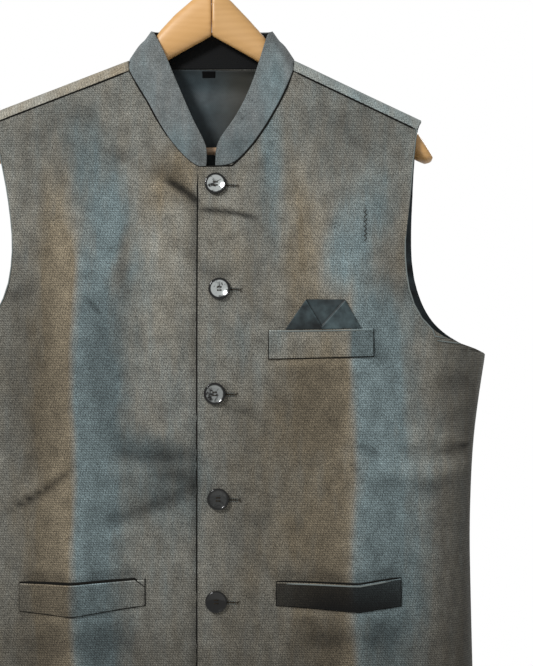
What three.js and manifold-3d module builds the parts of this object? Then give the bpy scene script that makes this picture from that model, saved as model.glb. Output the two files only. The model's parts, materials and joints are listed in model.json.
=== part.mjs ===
// A nehru jacket on a wooden hanger, in millimetres, +Z up, with its front facing -Y.
// The origin is the underside of the hook's crown, where a rail carries it.
// The garment and the hanger are drawn from a level line just below the neck points, the
// highest points of the shoulders, and then hung LEVEL_DROP below the origin.

import * as THREE from 'three';
import { mergeVertices } from 'three/addons/utils/BufferGeometryUtils.js';
import Module from 'manifold-3d';

const wasm = await Module();
wasm.setup();

// ---------------------------------------------------------------- driving dimensions

const LEVEL_DROP = 150;         // origin to the level line, z = 0 in the garment's own frame
const CLOTH_WALL = 2.0;         // shell cloth with its interlining
const LINING_WALL = 1.0;
const COLLAR_WALL = 3.0;        // two layers of cloth over a stiffener
const WELT_WALL = 1.8;
const SEAM_GAP = 0.3;           // between pieces that are sewn together
const LAY_GAP = 0.6;            // between a panel and what lies on it

const NECK_HALF = 84;           // half the width between the neck points
const NECK_POINT = 9;           // height of the shoulder ridge at the neck
// The jacket hangs a little askew: its wearer's right shoulder lies further out and higher.
const SHOULDER_TIPS = { left: { x: 216, z: -54 }, right: { x: 227, z: -46.5 } };
const SHOULDER_ROLL = 26;       // height over which the cloth rolls off the hanger's edge
const NECK_DEPTH = 18;          // half the depth of the roll at the neck
const TIP_DEPTH = 24;           // half the depth of the roll at the shoulder tip
const SEAM_DROP = 15;           // the shoulder seam lies this far below the ridge, on the front
const SEAM_SPREAD = 1.5;        // and this much further at the tip
const FRONT_DEPTH = 42;         // hanger plane to the hanging front
const BACK_DEPTH = 32;          // hanger plane to the hanging back
const HANG_REACH = 280;         // height over which the cloth swings out to those depths
const SIDE_ROLL = 60;           // width over which front and back turn in to the side seam

const ARMPIT = -295;
const HEM = -710;
const LAP_EDGE = -12.5;         // the overlapping front's edge
const UNDERLAP_EDGE = 25;       // the hidden front's edge, under the overlap
const TOP_EDGE = -105;          // the straight top of the overlap, beside the collar's end
const BACK_NECK = 2.5;          // height of the back neck seam
const LINING_LIFT = 14;         // the lining stops this far above the hem

// Half widths of the body, from the armpit to the hem.
const SIDE_SECTIONS = [
  { z: ARMPIT, half: 283 },
  { z: -345, half: 275 },
  { z: -395, half: 269 },
  { z: -475, half: 266.5 },
  { z: -550, half: 268 },
  { z: HEM, half: 272 },
];

// Armholes, as distances out from the centre line. The fronts' run from the shoulder seam
// down to the armpit.
const FRONT_ARMHOLES = {
  left: [
    { x: 209.6, z: -68.5 },
    { x: 205.7, z: -98 },
    { x: 201.7, z: -138 },
    { x: 196.8, z: -180 },
    { x: 197.2, z: -206 },
    { x: 200.6, z: -231 },
    { x: 206.5, z: -248 },
    { x: 216, z: -263 },
    { x: 227, z: -273 },
    { x: 241, z: -280.5 },
    { x: 260, z: -286.5 },
    { x: 283, z: ARMPIT },
  ],
  right: [
    { x: 220.6, z: -61.5 },
    { x: 213, z: -98 },
    { x: 205, z: -138 },
    { x: 200, z: -180 },
    { x: 200.5, z: -206 },
    { x: 204, z: -228 },
    { x: 210, z: -244 },
    { x: 218.5, z: -259 },
    { x: 229, z: -270.5 },
    { x: 242, z: -279.5 },
    { x: 260, z: -286.5 },
    { x: 283, z: ARMPIT },
  ],
};

// The back's run from behind the ridge down to the armpit, and are cut wider.
const BACK_ARMHOLES = {
  left: [
    { x: 215, z: -60.2 },
    { x: 212.4, z: -90 },
    { x: 210, z: -135 },
    { x: 209, z: -185 },
    { x: 211.2, z: -212 },
    { x: 215, z: -228 },
    { x: 221, z: -244.5 },
    { x: 229.5, z: -259.5 },
    { x: 242.5, z: -273 },
    { x: 262, z: -285 },
    { x: 283, z: ARMPIT },
  ],
  right: [
    { x: 226, z: -52.6 },
    { x: 221, z: -90 },
    { x: 214.5, z: -135 },
    { x: 211.5, z: -185 },
    { x: 213, z: -212 },
    { x: 216.5, z: -228 },
    { x: 222, z: -244.5 },
    { x: 230, z: -259.5 },
    { x: 242.5, z: -273 },
    { x: 262, z: -285 },
    { x: 283, z: ARMPIT },
  ],
};

// The collar's stations from the shoulder seam to its front end: the seam that joins it to
// the front, its top edge, and how far the top stands behind the seam.
const COLLAR_WEARERS_LEFT = [
  { seamX: 84, seamZ: -6, topX: 57, topZ: 33, lean: 6 },
  { seamX: 77, seamZ: -24, topX: 50, topZ: 8, lean: 6 },
  { seamX: 68, seamZ: -42, topX: 43.5, topZ: -13, lean: 5 },
  { seamX: 57, seamZ: -61, topX: 35.5, topZ: -33, lean: 4 },
  { seamX: 45, seamZ: -79, topX: 25, topZ: -53, lean: 3 },
  { seamX: 33, seamZ: -93, topX: 15.5, topZ: -66.5, lean: 2 },
  { seamX: 21.5, seamZ: -104, topX: 8, topZ: -77, lean: 1 },
  { seamX: 4.5, seamZ: -104.5, topX: 5, topZ: -87, lean: 0 },
];
const COLLAR_WEARERS_RIGHT = [
  { seamX: -84, seamZ: -6, topX: -58, topZ: 34, lean: 6 },
  { seamX: -75, seamZ: -22, topX: -47, topZ: 12, lean: 6 },
  { seamX: -65, seamZ: -38, topX: -40, topZ: -6, lean: 5 },
  { seamX: -56, seamZ: -55, topX: -33, topZ: -22, lean: 4 },
  { seamX: -45, seamZ: -73, topX: -25, topZ: -41, lean: 3 },
  { seamX: -31, seamZ: -91, topX: -15.5, topZ: -62, lean: 2 },
  { seamX: -14.5, seamZ: -105.5, topX: -6.5, topZ: -78, lean: 1 },
  { seamX: -4.5, seamZ: -105.5, topX: -4, topZ: -88, lean: 0 },
];

// The collar round the side and back of the neck, on one side of the centre line.
const COLLAR_BACK = [
  { seamX: 85, seamZ: 9, behind: 0, topX: 62.5, topZ: 38, topY: -1 },
  { seamX: 82.5, seamZ: 5.2, behind: 1, topX: 61, topZ: 39.5, topY: 7 },
  { seamX: 74, seamZ: 3.2, behind: 1, topX: 56.5, topZ: 40.3, topY: 12 },
  { seamX: 52, seamZ: BACK_NECK, behind: 1, topX: 46, topZ: 40.5, topY: 14 },
  { seamX: 26, seamZ: BACK_NECK, behind: 1, topX: 24, topZ: 40.5, topY: 14.5 },
];
const COLLAR_CENTRE = { seamX: 0, seamZ: BACK_NECK, behind: 1, topX: 0, topZ: 40.5, topY: 14.5 };

// The largest folds: each is a soft ridge (or, with a negative lift, a trough) that runs
// from one end to the other and dies away over its reach on either side.
const FRONT_FOLDS = [
  { x0: -140, z0: -130, x1: -134, z1: -760, reach: 42, lift: 3.0 },
  { x0: 138, z0: -190, x1: 146, z1: -760, reach: 42, lift: 3.0 },
  { x0: -75, z0: -200, x1: -80, z1: -740, reach: 40, lift: -2.2 },
  { x0: 78, z0: -330, x1: 84, z1: -740, reach: 40, lift: -2.2 },
  { x0: 150, z0: -398, x1: 262, z1: -386, reach: 30, lift: -2.4 },
  { x0: -200, z0: -448, x1: -120, z1: -400, reach: 30, lift: -2.0 },
];
const BACK_FOLDS = [
  { x0: -128, z0: -170, x1: -140, z1: -760, reach: 45, lift: 3.0 },
  { x0: 120, z0: -150, x1: 132, z1: -760, reach: 45, lift: 3.2 },
  { x0: -30, z0: -240, x1: -18, z1: -760, reach: 50, lift: -2.2 },
  { x0: 60, z0: -400, x1: 180, z1: -372, reach: 34, lift: -2.0 },
];

// Welts: the top and bottom edges of each at three sections along it.
const CHEST_WELT = [
  { x: 59, top: -271, bottom: -299.3 },
  { x: 111, top: -270.2, bottom: -298 },
  { x: 163.3, top: -269.3, bottom: -296.7 },
];
const WELT_WEARERS_RIGHT = [
  { x: -190, top: -523.7, bottom: -551 },
  { x: -138, top: -525.4, bottom: -556.8 },
  { x: -65.4, top: -520.4, bottom: -545.8 },
];
const WELT_WEARERS_LEFT = [
  { x: 66.6, top: -523, bottom: -546 },
  { x: 149, top: -524.8, bottom: -551.8 },
  { x: 190.7, top: -518.8, bottom: -546 },
];

// The pocket square stands on the chest welt's top edge and narrows upward.
const SQUARE = { baseX0: 75, baseX1: 151, topX0: 96, topX1: 135, top: -240, above: 0.5, wall: 2.2 };
const LABEL = { x0: -10.5, x1: 3, top: 2.3, bottom: -5, wall: 0.8 };

// Buttons: centres, down the front.
const BUTTON = { radius: 11, thickness: 4.4, rim: 2.6, dish: 1.1, hole: 1.1, holeSpread: 2.1, sides: 32 };
const BUTTON_CENTRES = [
  { x: 5, z: -122.7 },
  { x: 9.3, z: -229.3 },
  { x: 4.7, z: -334.3 },
  { x: 8.2, z: -439.7 },
  { x: 6.2, z: -542.1 },
];

// Hanger arm sections, from the middle out to the end.
// The right arm was shaped a little fuller along its top, by "rise".
const ARM_SECTIONS = [
  { x: 0.15, top: 81, bottom: 33.5, half: 7.5 },
  { x: 9, top: 78, bottom: 28.5, half: 7.5 },
  { x: 20, top: 70, bottom: 22.5, half: 7.7, rise: 1.5 },
  { x: 38, top: 51, bottom: 12.5, half: 8.1, rise: 5 },
  { x: 54, top: 33, bottom: 3, half: 8.6, rise: 5.5 },
  { x: 66, top: 18, bottom: -5, half: 9.2 },
  { x: 78, top: 4, bottom: -14, half: 10 },
  { x: 92, top: -3.5, bottom: -23, half: 11 },
  { x: 120, top: -14.5, bottom: -38.5, half: 13 },
  { x: 150, top: -29, bottom: -56, half: 15.4 },
  { x: 180, top: -43.5, bottom: -74, half: 17.5 },
  { x: 200, top: -55, bottom: -87, half: 18.5 },
  { x: 213, top: -68, bottom: -95.5, half: 18.3 },
  { x: 221, top: -81, bottom: -98.5, half: 17 },
  { x: 227, top: -92.5, bottom: -96.5, half: 14 },
];
const ARM_RING = 20;
const ARM_ROUND = 0.85;         // 1 is an ellipse, less is squarer
const BAR = { radius: 4, z: -85.6, end: 199, socket: 200, sides: 16 };
const HOOK = { wire: 3.8, crown: 21.9, foot: 84, bend: 106, sides: 10, steps: 56 };

// ------------------------------------------------------------------------- materials

function material(name, color, roughness, metalness = 0) {
  return new THREE.MeshStandardMaterial({ name, color, roughness, metalness });
}

const SHELL_CLOTH = material('textured shell cloth', 0x6a665d, 0.8);
const COLLAR_CLOTH = material('collar cloth', 0x61686a, 0.8);
const LINING_SATIN = material('lining satin', 0x4a5358, 0.35);
const SQUARE_SATIN = material('pocket square satin', 0x3a444a, 0.35);
const LABEL_WEAVE = material('label weave', 0x0e0e10, 0.7);
const BUTTON_RESIN = material('button resin', 0x2a2a28, 0.2);
const HANGER_WOOD = material('hanger wood', 0xd2a36a, 0.5);
const HOOK_STEEL = material('hook steel', 0xb4b6b8, 0.25, 1);

// ---------------------------------------------------------------------------- helpers

function lerp(a, b, t) {
  return a + (b - a) * t;
}

function smooth(t) {
  const c = Math.min(1, Math.max(0, t));
  return c * c * (3 - 2 * c);
}

// A named column of a table read at any place along another, by straight interpolation.
function readTable(table, key, value, column) {
  const rising = table[1][key] > table[0][key];
  let i = 0;
  while (i < table.length - 2 && (rising ? value > table[i + 1][key] : value < table[i + 1][key])) {
    i += 1;
  }
  const a = table[i];
  const b = table[i + 1];
  const t = Math.min(1, Math.max(0, (value - a[key]) / (b[key] - a[key])));
  return lerp(a[column], b[column], t);
}

// The smooth curve through a table's x and z.
function smoothCurve(table) {
  const knots = table.map((row) => new THREE.Vector3(row.x, 0, row.z));
  return new THREE.CatmullRomCurve3(knots, false, 'centripetal');
}

function indexedMesh(name, positions, triangles, mat) {
  const geometry = new THREE.BufferGeometry();
  geometry.setAttribute('position', new THREE.Float32BufferAttribute(positions, 3));
  geometry.setIndex(triangles);
  return namedMesh(name, geometry, mat);
}

function namedMesh(name, geometry, mat) {
  geometry.computeVertexNormals();
  const mesh = new THREE.Mesh(geometry, mat);
  mesh.name = name;
  return mesh;
}

// A closed wall between two grids of points of the same size. Cells for which isOpen(row,
// column) is true are left out, and every free edge gets a rim.
function wallMesh(name, outer, inner, mat, isOpen = () => false) {
  const columns = outer[0].length;
  const layer = outer.length * columns;
  const positions = [];
  for (const grid of [outer, inner]) {
    for (const row of grid) {
      for (const p of row) {
        positions.push(p.x, p.y, p.z);
      }
    }
  }
  const triangles = [];
  const edges = new Map();
  for (let r = 0; r < outer.length - 1; r += 1) {
    for (let c = 0; c < columns - 1; c += 1) {
      if (isOpen(r, c)) {
        continue;
      }
      const ring = [r * columns + c, r * columns + c + 1, (r + 1) * columns + c + 1, (r + 1) * columns + c];
      const [a, b, d, e] = ring;
      triangles.push(a, b, d, a, d, e);
      triangles.push(layer + a, layer + d, layer + b, layer + a, layer + e, layer + d);
      ring.forEach((from, i) => edges.set(`${from},${ring[(i + 1) % 4]}`, [from, ring[(i + 1) % 4]]));
    }
  }
  for (const [from, to] of edges.values()) {
    if (!edges.has(`${to},${from}`)) {
      triangles.push(from, layer + to, to, from, layer + from, layer + to);
    }
  }
  return indexedMesh(name, ...packed(positions, facingOut(positions, triangles)), mat);
}

// Drops the points that no triangle uses.
function packed(positions, triangles) {
  const place = new Map();
  const kept = [];
  const renumbered = triangles.map((i) => {
    if (!place.has(i)) {
      place.set(i, place.size);
      kept.push(...positions.slice(3 * i, 3 * i + 3));
    }
    return place.get(i);
  });
  return [kept, renumbered];
}

// Turns all the triangles over if together they enclose a negative volume.
function facingOut(positions, triangles) {
  const corner = (i) => new THREE.Vector3().fromArray(positions, 3 * i);
  let volume = 0;
  for (let i = 0; i < triangles.length; i += 3) {
    const [a, b, c] = [0, 1, 2].map((k) => corner(triangles[i + k]));
    volume += a.dot(b.cross(c));
  }
  return volume > 0 ? triangles : triangles.slice().reverse();
}

function toSolid(geometry) {
  const bare = geometry.clone();
  bare.deleteAttribute('normal');
  bare.deleteAttribute('uv');
  const merged = mergeVertices(bare, 1e-4);
  return new wasm.Manifold(new wasm.Mesh({
    numProp: 3,
    vertProperties: new Float32Array(merged.attributes.position.array),
    triVerts: new Uint32Array(merged.index.array),
  }));
}

function fromSolid(solid) {
  const mesh = solid.getMesh();
  const geometry = new THREE.BufferGeometry();
  geometry.setAttribute('position', new THREE.Float32BufferAttribute(mesh.vertProperties, 3));
  geometry.setIndex(Array.from(mesh.triVerts));
  return geometry;
}

// ------------------------------------------------------------------- the garment's form

function sideOf(x) {
  return x < 0 ? 'right' : 'left';
}

// How far x is along its shoulder, 0 at the neck point and 1 at the tip.
function alongShoulder(x) {
  const tip = SHOULDER_TIPS[sideOf(x)];
  return Math.max(0, (Math.abs(x) - NECK_HALF) / (tip.x - NECK_HALF));
}

function ridgeHeight(x) {
  return lerp(NECK_POINT, SHOULDER_TIPS[sideOf(x)].z, alongShoulder(x));
}

function shoulderDepth(x) {
  return lerp(NECK_DEPTH, TIP_DEPTH, smooth(alongShoulder(x)));
}

function halfWidth(z) {
  return readTable(SIDE_SECTIONS, 'z', z, 'half');
}

function foldLift(folds, x, z) {
  let lift = 0;
  for (const fold of folds) {
    const dx = fold.x1 - fold.x0;
    const dz = fold.z1 - fold.z0;
    const length = Math.hypot(dx, dz);
    const along = ((x - fold.x0) * dx + (z - fold.z0) * dz) / (length * length);
    const across = Math.abs((x - fold.x0) * dz - (z - fold.z0) * dx) / length;
    lift += fold.lift * smooth(1 - across / fold.reach) * smooth(along * 4) * smooth((1 - along) * 4);
  }
  return lift;
}

// How far the hidden front is pushed in under the overlap.
function tuck(x) {
  return (CLOTH_WALL + LAY_GAP) * smooth((x + 44) / 24);
}

// A point of the garment at x, z on the front (side -1) or the back (side 1), moved in from
// the outer face by inset. Both rolls, at the shoulder ridge and at the side seam, are
// quarter ellipses, so that the inner face stays one wall inside the outer one.
function bodyPoint(x, z, side, inset = 0, isUnder = false) {
  const ridge = ridgeHeight(x);
  const fall = Math.max(0, ridge - z);
  const roll = Math.acos(1 - Math.min(1, fall / SHOULDER_ROLL));
  const hang = smooth((fall - SHOULDER_ROLL / 2) / HANG_REACH);
  const reach = side < 0 ? FRONT_DEPTH : BACK_DEPTH;
  const folds = foldLift(side < 0 ? FRONT_FOLDS : BACK_FOLDS, x, z);
  const full = lerp(shoulderDepth(x), reach, hang) + folds - (isUnder ? tuck(x) : 0);
  const half = halfWidth(z);
  const fromSide = Math.max(0, half - Math.abs(x));
  const turn = Math.acos(1 - Math.min(1, fromSide / SIDE_ROLL));
  const out = fromSide < SIDE_ROLL
    ? Math.sign(x) * (half - SIDE_ROLL + (SIDE_ROLL - inset) * Math.cos(turn))
    : x;
  const up = fall < SHOULDER_ROLL ? ridge - SHOULDER_ROLL + (SHOULDER_ROLL - inset) * Math.cos(roll) : z;
  const depth = (full - inset) * Math.sin(roll) * Math.sin(turn) + (SEAM_GAP / 2) * Math.cos(turn);
  return new THREE.Vector3(out, side * depth, up);
}

// -------------------------------------------------------------------------- the fronts

const ARMHOLE_ROWS = 17;
const SIDE_ROWS = 9;
const FLAT_COLUMNS = 11;
const ROLL_COLUMNS = 5;
const ROLL_SHARE = 0.3;         // the turn takes at most this share of a front's row

// Places across a front row, 0 at the front edge and 1 at the armhole or side: evenly
// spaced, then closing up where the cloth turns to the side seam.
function acrossFront(width) {
  const zone = Math.min(SIDE_ROLL / width, ROLL_SHARE);
  const places = [];
  for (let i = 0; i < FLAT_COLUMNS; i += 1) {
    places.push((1 - zone) * i / FLAT_COLUMNS);
  }
  return places.concat(rollPlaces().map((t) => 1 - zone * t));
}

// Places through the turn to the side seam, 1 where it starts and 0 at the seam.
function rollPlaces() {
  const places = [];
  for (let i = ROLL_COLUMNS; i >= 0; i -= 1) {
    places.push(1 - Math.cos(Math.PI / 2 * i / ROLL_COLUMNS));
  }
  return places;
}

// The starts of a front's rows: down the neckline, to the corner, then down the edge.
function frontStarts(stations, edgeX, cornerZ) {
  const starts = stations.map((s) => ({ x: s.seamX, z: s.seamZ }));
  starts.push({ x: edgeX, z: cornerZ });
  const upperRows = ARMHOLE_ROWS + 1 - starts.length;
  for (let i = 1; i <= upperRows; i += 1) {
    starts.push({ x: edgeX, z: lerp(cornerZ, ARMPIT, i / upperRows) });
  }
  for (let i = 1; i <= SIDE_ROWS; i += 1) {
    starts.push({ x: edgeX, z: lerp(ARMPIT, HEM, i / SIDE_ROWS) });
  }
  return starts;
}

// The ends of a front's rows: down the armhole, then down the side seam.
function frontEnds(sign) {
  const armhole = smoothCurve(FRONT_ARMHOLES[sideOf(sign)]).getSpacedPoints(ARMHOLE_ROWS);
  const ends = armhole.map((p) => ({ x: sign * p.x, z: p.z }));
  for (let i = 1; i <= SIDE_ROWS; i += 1) {
    const z = lerp(ARMPIT, HEM, i / SIDE_ROWS);
    ends.push({ x: sign * halfWidth(z), z });
  }
  return ends;
}

// The shoulder seam isn't straight across the roll: it keeps its drop below the ridge.
function onSeam(x) {
  return ridgeHeight(x) - SEAM_DROP - SEAM_GAP / 2 - SEAM_SPREAD * alongShoulder(x);
}

function frontPanel(name, sign, stations, edgeX, cornerZ, isUnder) {
  const starts = frontStarts(stations, edgeX, cornerZ);
  const ends = frontEnds(sign);
  const outer = [];
  const inner = [];
  starts.forEach((start, r) => {
    const end = ends[r];
    const places = acrossFront(Math.abs(end.x - start.x));
    const flat = places.map((t) => {
      const x = lerp(start.x, end.x, t);
      const z = r === 0 ? onSeam(x) : lerp(start.z, end.z, t);
      return { x, z };
    });
    outer.push(flat.map((p) => bodyPoint(p.x, p.z, -1, 0, isUnder)));
    inner.push(flat.map((p) => bodyPoint(p.x, p.z, -1, CLOTH_WALL, isUnder)));
  });
  return wallMesh(name, outer, inner, SHELL_CLOTH);
}

// ---------------------------------------------------------------- the back and its lining

const WRAP_ANGLES = 7;          // rows that wrap over the shoulder, above the back neck
const BACK_NECK_COLUMNS = 5;    // on each side of the centre
const BACK_FLAP_COLUMNS = 3;
const BACK_ROLL_ROWS = 4;       // over the rest of the shoulder roll
const BACK_DROP_ROWS = 12;      // from the roll to the armpit
const NECK_BULGE = 1.5;         // the neck edge stands out this much as it crosses the ridge
const TIP_TUCK = 6.4;           // the shoulder's end turns in this much from the ridge to the seam

function backColumns() {
  return BACK_NECK_COLUMNS + BACK_FLAP_COLUMNS + ROLL_COLUMNS;
}

// Places across half the back, 0 at the centre and 1 at the edge, in the top row and in the
// rows below the armpit.
function acrossBack(side, isTop) {
  const tip = SHOULDER_TIPS[side].x;
  const zone = SIDE_ROLL / (isTop ? tip : halfWidth(HEM));
  const neck = NECK_HALF / tip;
  const inner = BACK_NECK_COLUMNS + BACK_FLAP_COLUMNS;
  const places = [];
  for (let i = 0; i < inner; i += 1) {
    const even = (1 - zone) * i / inner;
    const topPlace = i < BACK_NECK_COLUMNS
      ? neck * i / BACK_NECK_COLUMNS
      : lerp(neck, 1 - zone, (i - BACK_NECK_COLUMNS) / BACK_FLAP_COLUMNS);
    places.push(isTop ? topPlace : even);
  }
  return places.concat(rollPlaces().map((t) => 1 - zone * t));
}

// The height profile of the top row: level over the neck, then down the shoulder.
function shoulderFall(side, place) {
  const neck = NECK_HALF / SHOULDER_TIPS[side].x;
  return Math.max(0, (place - neck) / (1 - neck));
}

// Places down the back from the neck, at 0, to the armpit, at 1: by equal angles over the
// roll and evenly below it.
function downBack() {
  const places = [];
  const start = Math.acos(1 - (NECK_POINT - BACK_NECK) / SHOULDER_ROLL);
  const height = BACK_NECK - ARMPIT;
  const rollEnd = (SHOULDER_ROLL - NECK_POINT + BACK_NECK) / height;
  for (let i = 0; i < BACK_ROLL_ROWS; i += 1) {
    const angle = lerp(start, Math.PI / 2, i / BACK_ROLL_ROWS);
    places.push((SHOULDER_ROLL * (1 - Math.cos(angle)) - NECK_POINT + BACK_NECK) / height);
  }
  for (let i = 0; i <= BACK_DROP_ROWS; i += 1) {
    places.push(lerp(rollEnd, 1, i / BACK_DROP_ROWS));
  }
  return places;
}

// The edges' half widths and heights, and the centre line's height, for each row below the wrap.
function backEdges() {
  const armholes = { left: smoothCurve(BACK_ARMHOLES.left), right: smoothCurve(BACK_ARMHOLES.right) };
  const edges = downBack().map((place) => ({
    left: armholes.left.getPointAt(place),
    right: armholes.right.getPointAt(place),
    centre: lerp(BACK_NECK, ARMPIT, place),
    blend: place,
  }));
  for (let i = 1; i <= SIDE_ROWS; i += 1) {
    edges.push(levelEdge(lerp(ARMPIT, HEM, i / SIDE_ROWS)));
  }
  return edges;
}

function levelEdge(z) {
  const end = { x: halfWidth(z), z };
  return { left: end, right: end, centre: z, blend: 1 };
}

// Joins the two halves of a row, each from the centre out, into one from right to left.
function joinHalves(makeHalf) {
  const mirrored = makeHalf('right').slice(1).reverse().map((p) => ({ x: -p.x, z: p.z }));
  return mirrored.concat(makeHalf('left'));
}

// One row of the back below the wrap, across the full width, as nominal x and z.
function backRow(edge) {
  return joinHalves((side) => {
    const low = acrossBack(side, false);
    return acrossBack(side, true).map((place, i) => {
      const across = lerp(place, low[i], edge.blend);
      const fall = lerp(shoulderFall(side, place), low[i], smooth(edge.blend));
      return { x: edge[side].x * across, z: lerp(edge.centre, edge[side].z, fall) };
    });
  });
}

// One row of the wrap over the shoulders: the same columns, but the neck's are not used.
function wrapRow(angle) {
  const fall = SHOULDER_ROLL * (1 - Math.cos(angle));
  const isFront = angle < 0;
  const toSeam = smooth(fall / SEAM_DROP);
  const neckX = NECK_HALF + NECK_BULGE * (1 - smooth(fall / (isFront ? SEAM_DROP : NECK_POINT - BACK_NECK)));
  return joinHalves((side) => {
    const tip = SHOULDER_TIPS[side].x;
    const tipX = tip - (isFront ? TIP_TUCK : 1) * toSeam;
    return acrossBack(side, true).map((place) => {
      const along = shoulderFall(side, place);
      const x = place < NECK_HALF / tip ? place * tip : lerp(neckX, tipX, along);
      const drop = isFront ? fall + SEAM_SPREAD * along * toSeam : fall;
      return { x, z: ridgeHeight(side === 'left' ? x : -x) - drop };
    });
  });
}

function backPanel() {
  const outer = [];
  const inner = [];
  const frontAngle = -Math.acos(1 - (SEAM_DROP - SEAM_GAP / 2) / SHOULDER_ROLL);
  const backAngle = Math.acos(1 - (NECK_POINT - BACK_NECK) / SHOULDER_ROLL);
  for (let i = 0; i < WRAP_ANGLES; i += 1) {
    const angle = lerp(frontAngle, backAngle, i / WRAP_ANGLES);
    const side = angle < 0 ? -1 : 1;
    const row = wrapRow(angle);
    outer.push(row.map((p) => bodyPoint(p.x, p.z, side)));
    inner.push(row.map((p) => bodyPoint(p.x, p.z, side, CLOTH_WALL)));
  }
  for (const edge of backEdges()) {
    const row = backRow(edge);
    outer.push(row.map((p) => bodyPoint(p.x, p.z, 1)));
    inner.push(row.map((p) => bodyPoint(p.x, p.z, 1, CLOTH_WALL)));
  }
  const middle = backColumns();
  const isNeck = (r, c) => r < WRAP_ANGLES && c >= middle - BACK_NECK_COLUMNS && c < middle + BACK_NECK_COLUMNS;
  return wallMesh('back', outer, inner, SHELL_CLOTH, isNeck);
}

function backLining() {
  const outer = [];
  const inner = [];
  const edges = backEdges();
  edges[edges.length - 1] = levelEdge(HEM + LINING_LIFT);
  const outside = CLOTH_WALL + SEAM_GAP;
  for (const edge of edges) {
    const row = backRow(edge);
    outer.push(row.map((p) => bodyPoint(p.x, p.z, 1, outside)));
    inner.push(row.map((p) => bodyPoint(p.x, p.z, 1, outside + LINING_WALL)));
  }
  return wallMesh('back_lining', outer, inner, LINING_SATIN);
}

// -------------------------------------------------------------------------- the collar

const COLLAR_ROWS = 3;

function collarStation(station, side, isUnder) {
  const seam = side === 0
    ? new THREE.Vector3(station.seamX, 0, station.seamZ)
    : bodyPoint(station.seamX, station.seamZ, side, CLOTH_WALL / 2, isUnder).setZ(station.seamZ);
  const topY = station.topY === undefined ? seam.y + station.lean : station.topY;
  return { seam, top: new THREE.Vector3(station.topX, topY, station.topZ) };
}

function mirrorStation(station) {
  return { ...station, seamX: -station.seamX, topX: -station.topX };
}

function collarStations() {
  const left = COLLAR_WEARERS_LEFT.map((s) => collarStation(s, -1, false)).reverse();
  const right = COLLAR_WEARERS_RIGHT.map((s) => collarStation(s, -1, true));
  const back = COLLAR_BACK.map((s) => collarStation(s, s.behind));
  const mirrored = COLLAR_BACK.map((s) => collarStation(mirrorStation(s), s.behind)).reverse();
  return [...left, ...back, collarStation(COLLAR_CENTRE, 1), ...mirrored, ...right];
}

function collar() {
  const stations = collarStations();
  const outer = [];
  const inner = [];
  for (let r = 0; r <= COLLAR_ROWS; r += 1) {
    outer.push([]);
    inner.push([]);
  }
  stations.forEach((station, i) => {
    const before = stations[Math.max(0, i - 1)];
    const after = stations[Math.min(stations.length - 1, i + 1)];
    const up = station.top.clone().sub(station.seam).normalize();
    const along = after.seam.clone().add(after.top).sub(before.seam).sub(before.top);
    const out = along.cross(up).normalize().multiplyScalar(COLLAR_WALL / 2);
    const foot = station.seam.clone().addScaledVector(up, LAY_GAP);
    for (let r = 0; r <= COLLAR_ROWS; r += 1) {
      const middle = foot.clone().lerp(station.top, r / COLLAR_ROWS);
      outer[r].push(middle.clone().add(out));
      inner[r].push(middle.clone().sub(out));
    }
  });
  return wallMesh('collar', outer, inner, COLLAR_CLOTH);
}

// ------------------------------------------------------------- what lies on the panels

// A patch that lies on a panel: a grid of nominal x and z, raised clear of the cloth.
function patch(name, grid, side, lowInset, highInset, mat) {
  const low = grid.map((row) => row.map((p) => bodyPoint(p.x, p.z, side, lowInset)));
  const high = grid.map((row) => row.map((p) => bodyPoint(p.x, p.z, side, highInset)));
  return wallMesh(name, high, low, mat);
}

function weltGrid(sections, columns, rows) {
  const grid = [];
  for (let r = 0; r <= rows; r += 1) {
    const row = [];
    for (let c = 0; c <= columns; c += 1) {
      const x = lerp(sections[0].x, sections[sections.length - 1].x, c / columns);
      const top = readTable(sections, 'x', x, 'top');
      const bottom = readTable(sections, 'x', x, 'bottom');
      row.push({ x, z: lerp(top, bottom, r / rows) });
    }
    grid.push(row);
  }
  return grid;
}

function welt(name, sections) {
  return patch(name, weltGrid(sections, 12, 3), -1, -LAY_GAP, -LAY_GAP - WELT_WALL, SHELL_CLOTH);
}

function pocketSquare() {
  const grid = [];
  const rows = 3;
  const columns = 8;
  for (let r = 0; r <= rows; r += 1) {
    const x0 = lerp(SQUARE.topX0, SQUARE.baseX0, r / rows);
    const x1 = lerp(SQUARE.topX1, SQUARE.baseX1, r / rows);
    const row = [];
    for (let c = 0; c <= columns; c += 1) {
      const x = lerp(x0, x1, c / columns);
      const base = readTable(CHEST_WELT, 'x', x, 'top') + SQUARE.above;
      row.push({ x, z: lerp(SQUARE.top, base, r / rows) });
    }
    grid.push(row);
  }
  return patch('pocket_square', grid, -1, -LAY_GAP, -LAY_GAP - SQUARE.wall, SQUARE_SATIN);
}

function neckLabel() {
  const sections = [
    { x: LABEL.x0, top: LABEL.top, bottom: LABEL.bottom },
    { x: LABEL.x1, top: LABEL.top, bottom: LABEL.bottom },
  ];
  const inside = CLOTH_WALL + SEAM_GAP + LINING_WALL + LAY_GAP;
  return patch('neck_label', weltGrid(sections, 3, 2), 1, inside, inside + LABEL.wall, LABEL_WEAVE);
}

// ------------------------------------------------------------------------- the buttons

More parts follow.
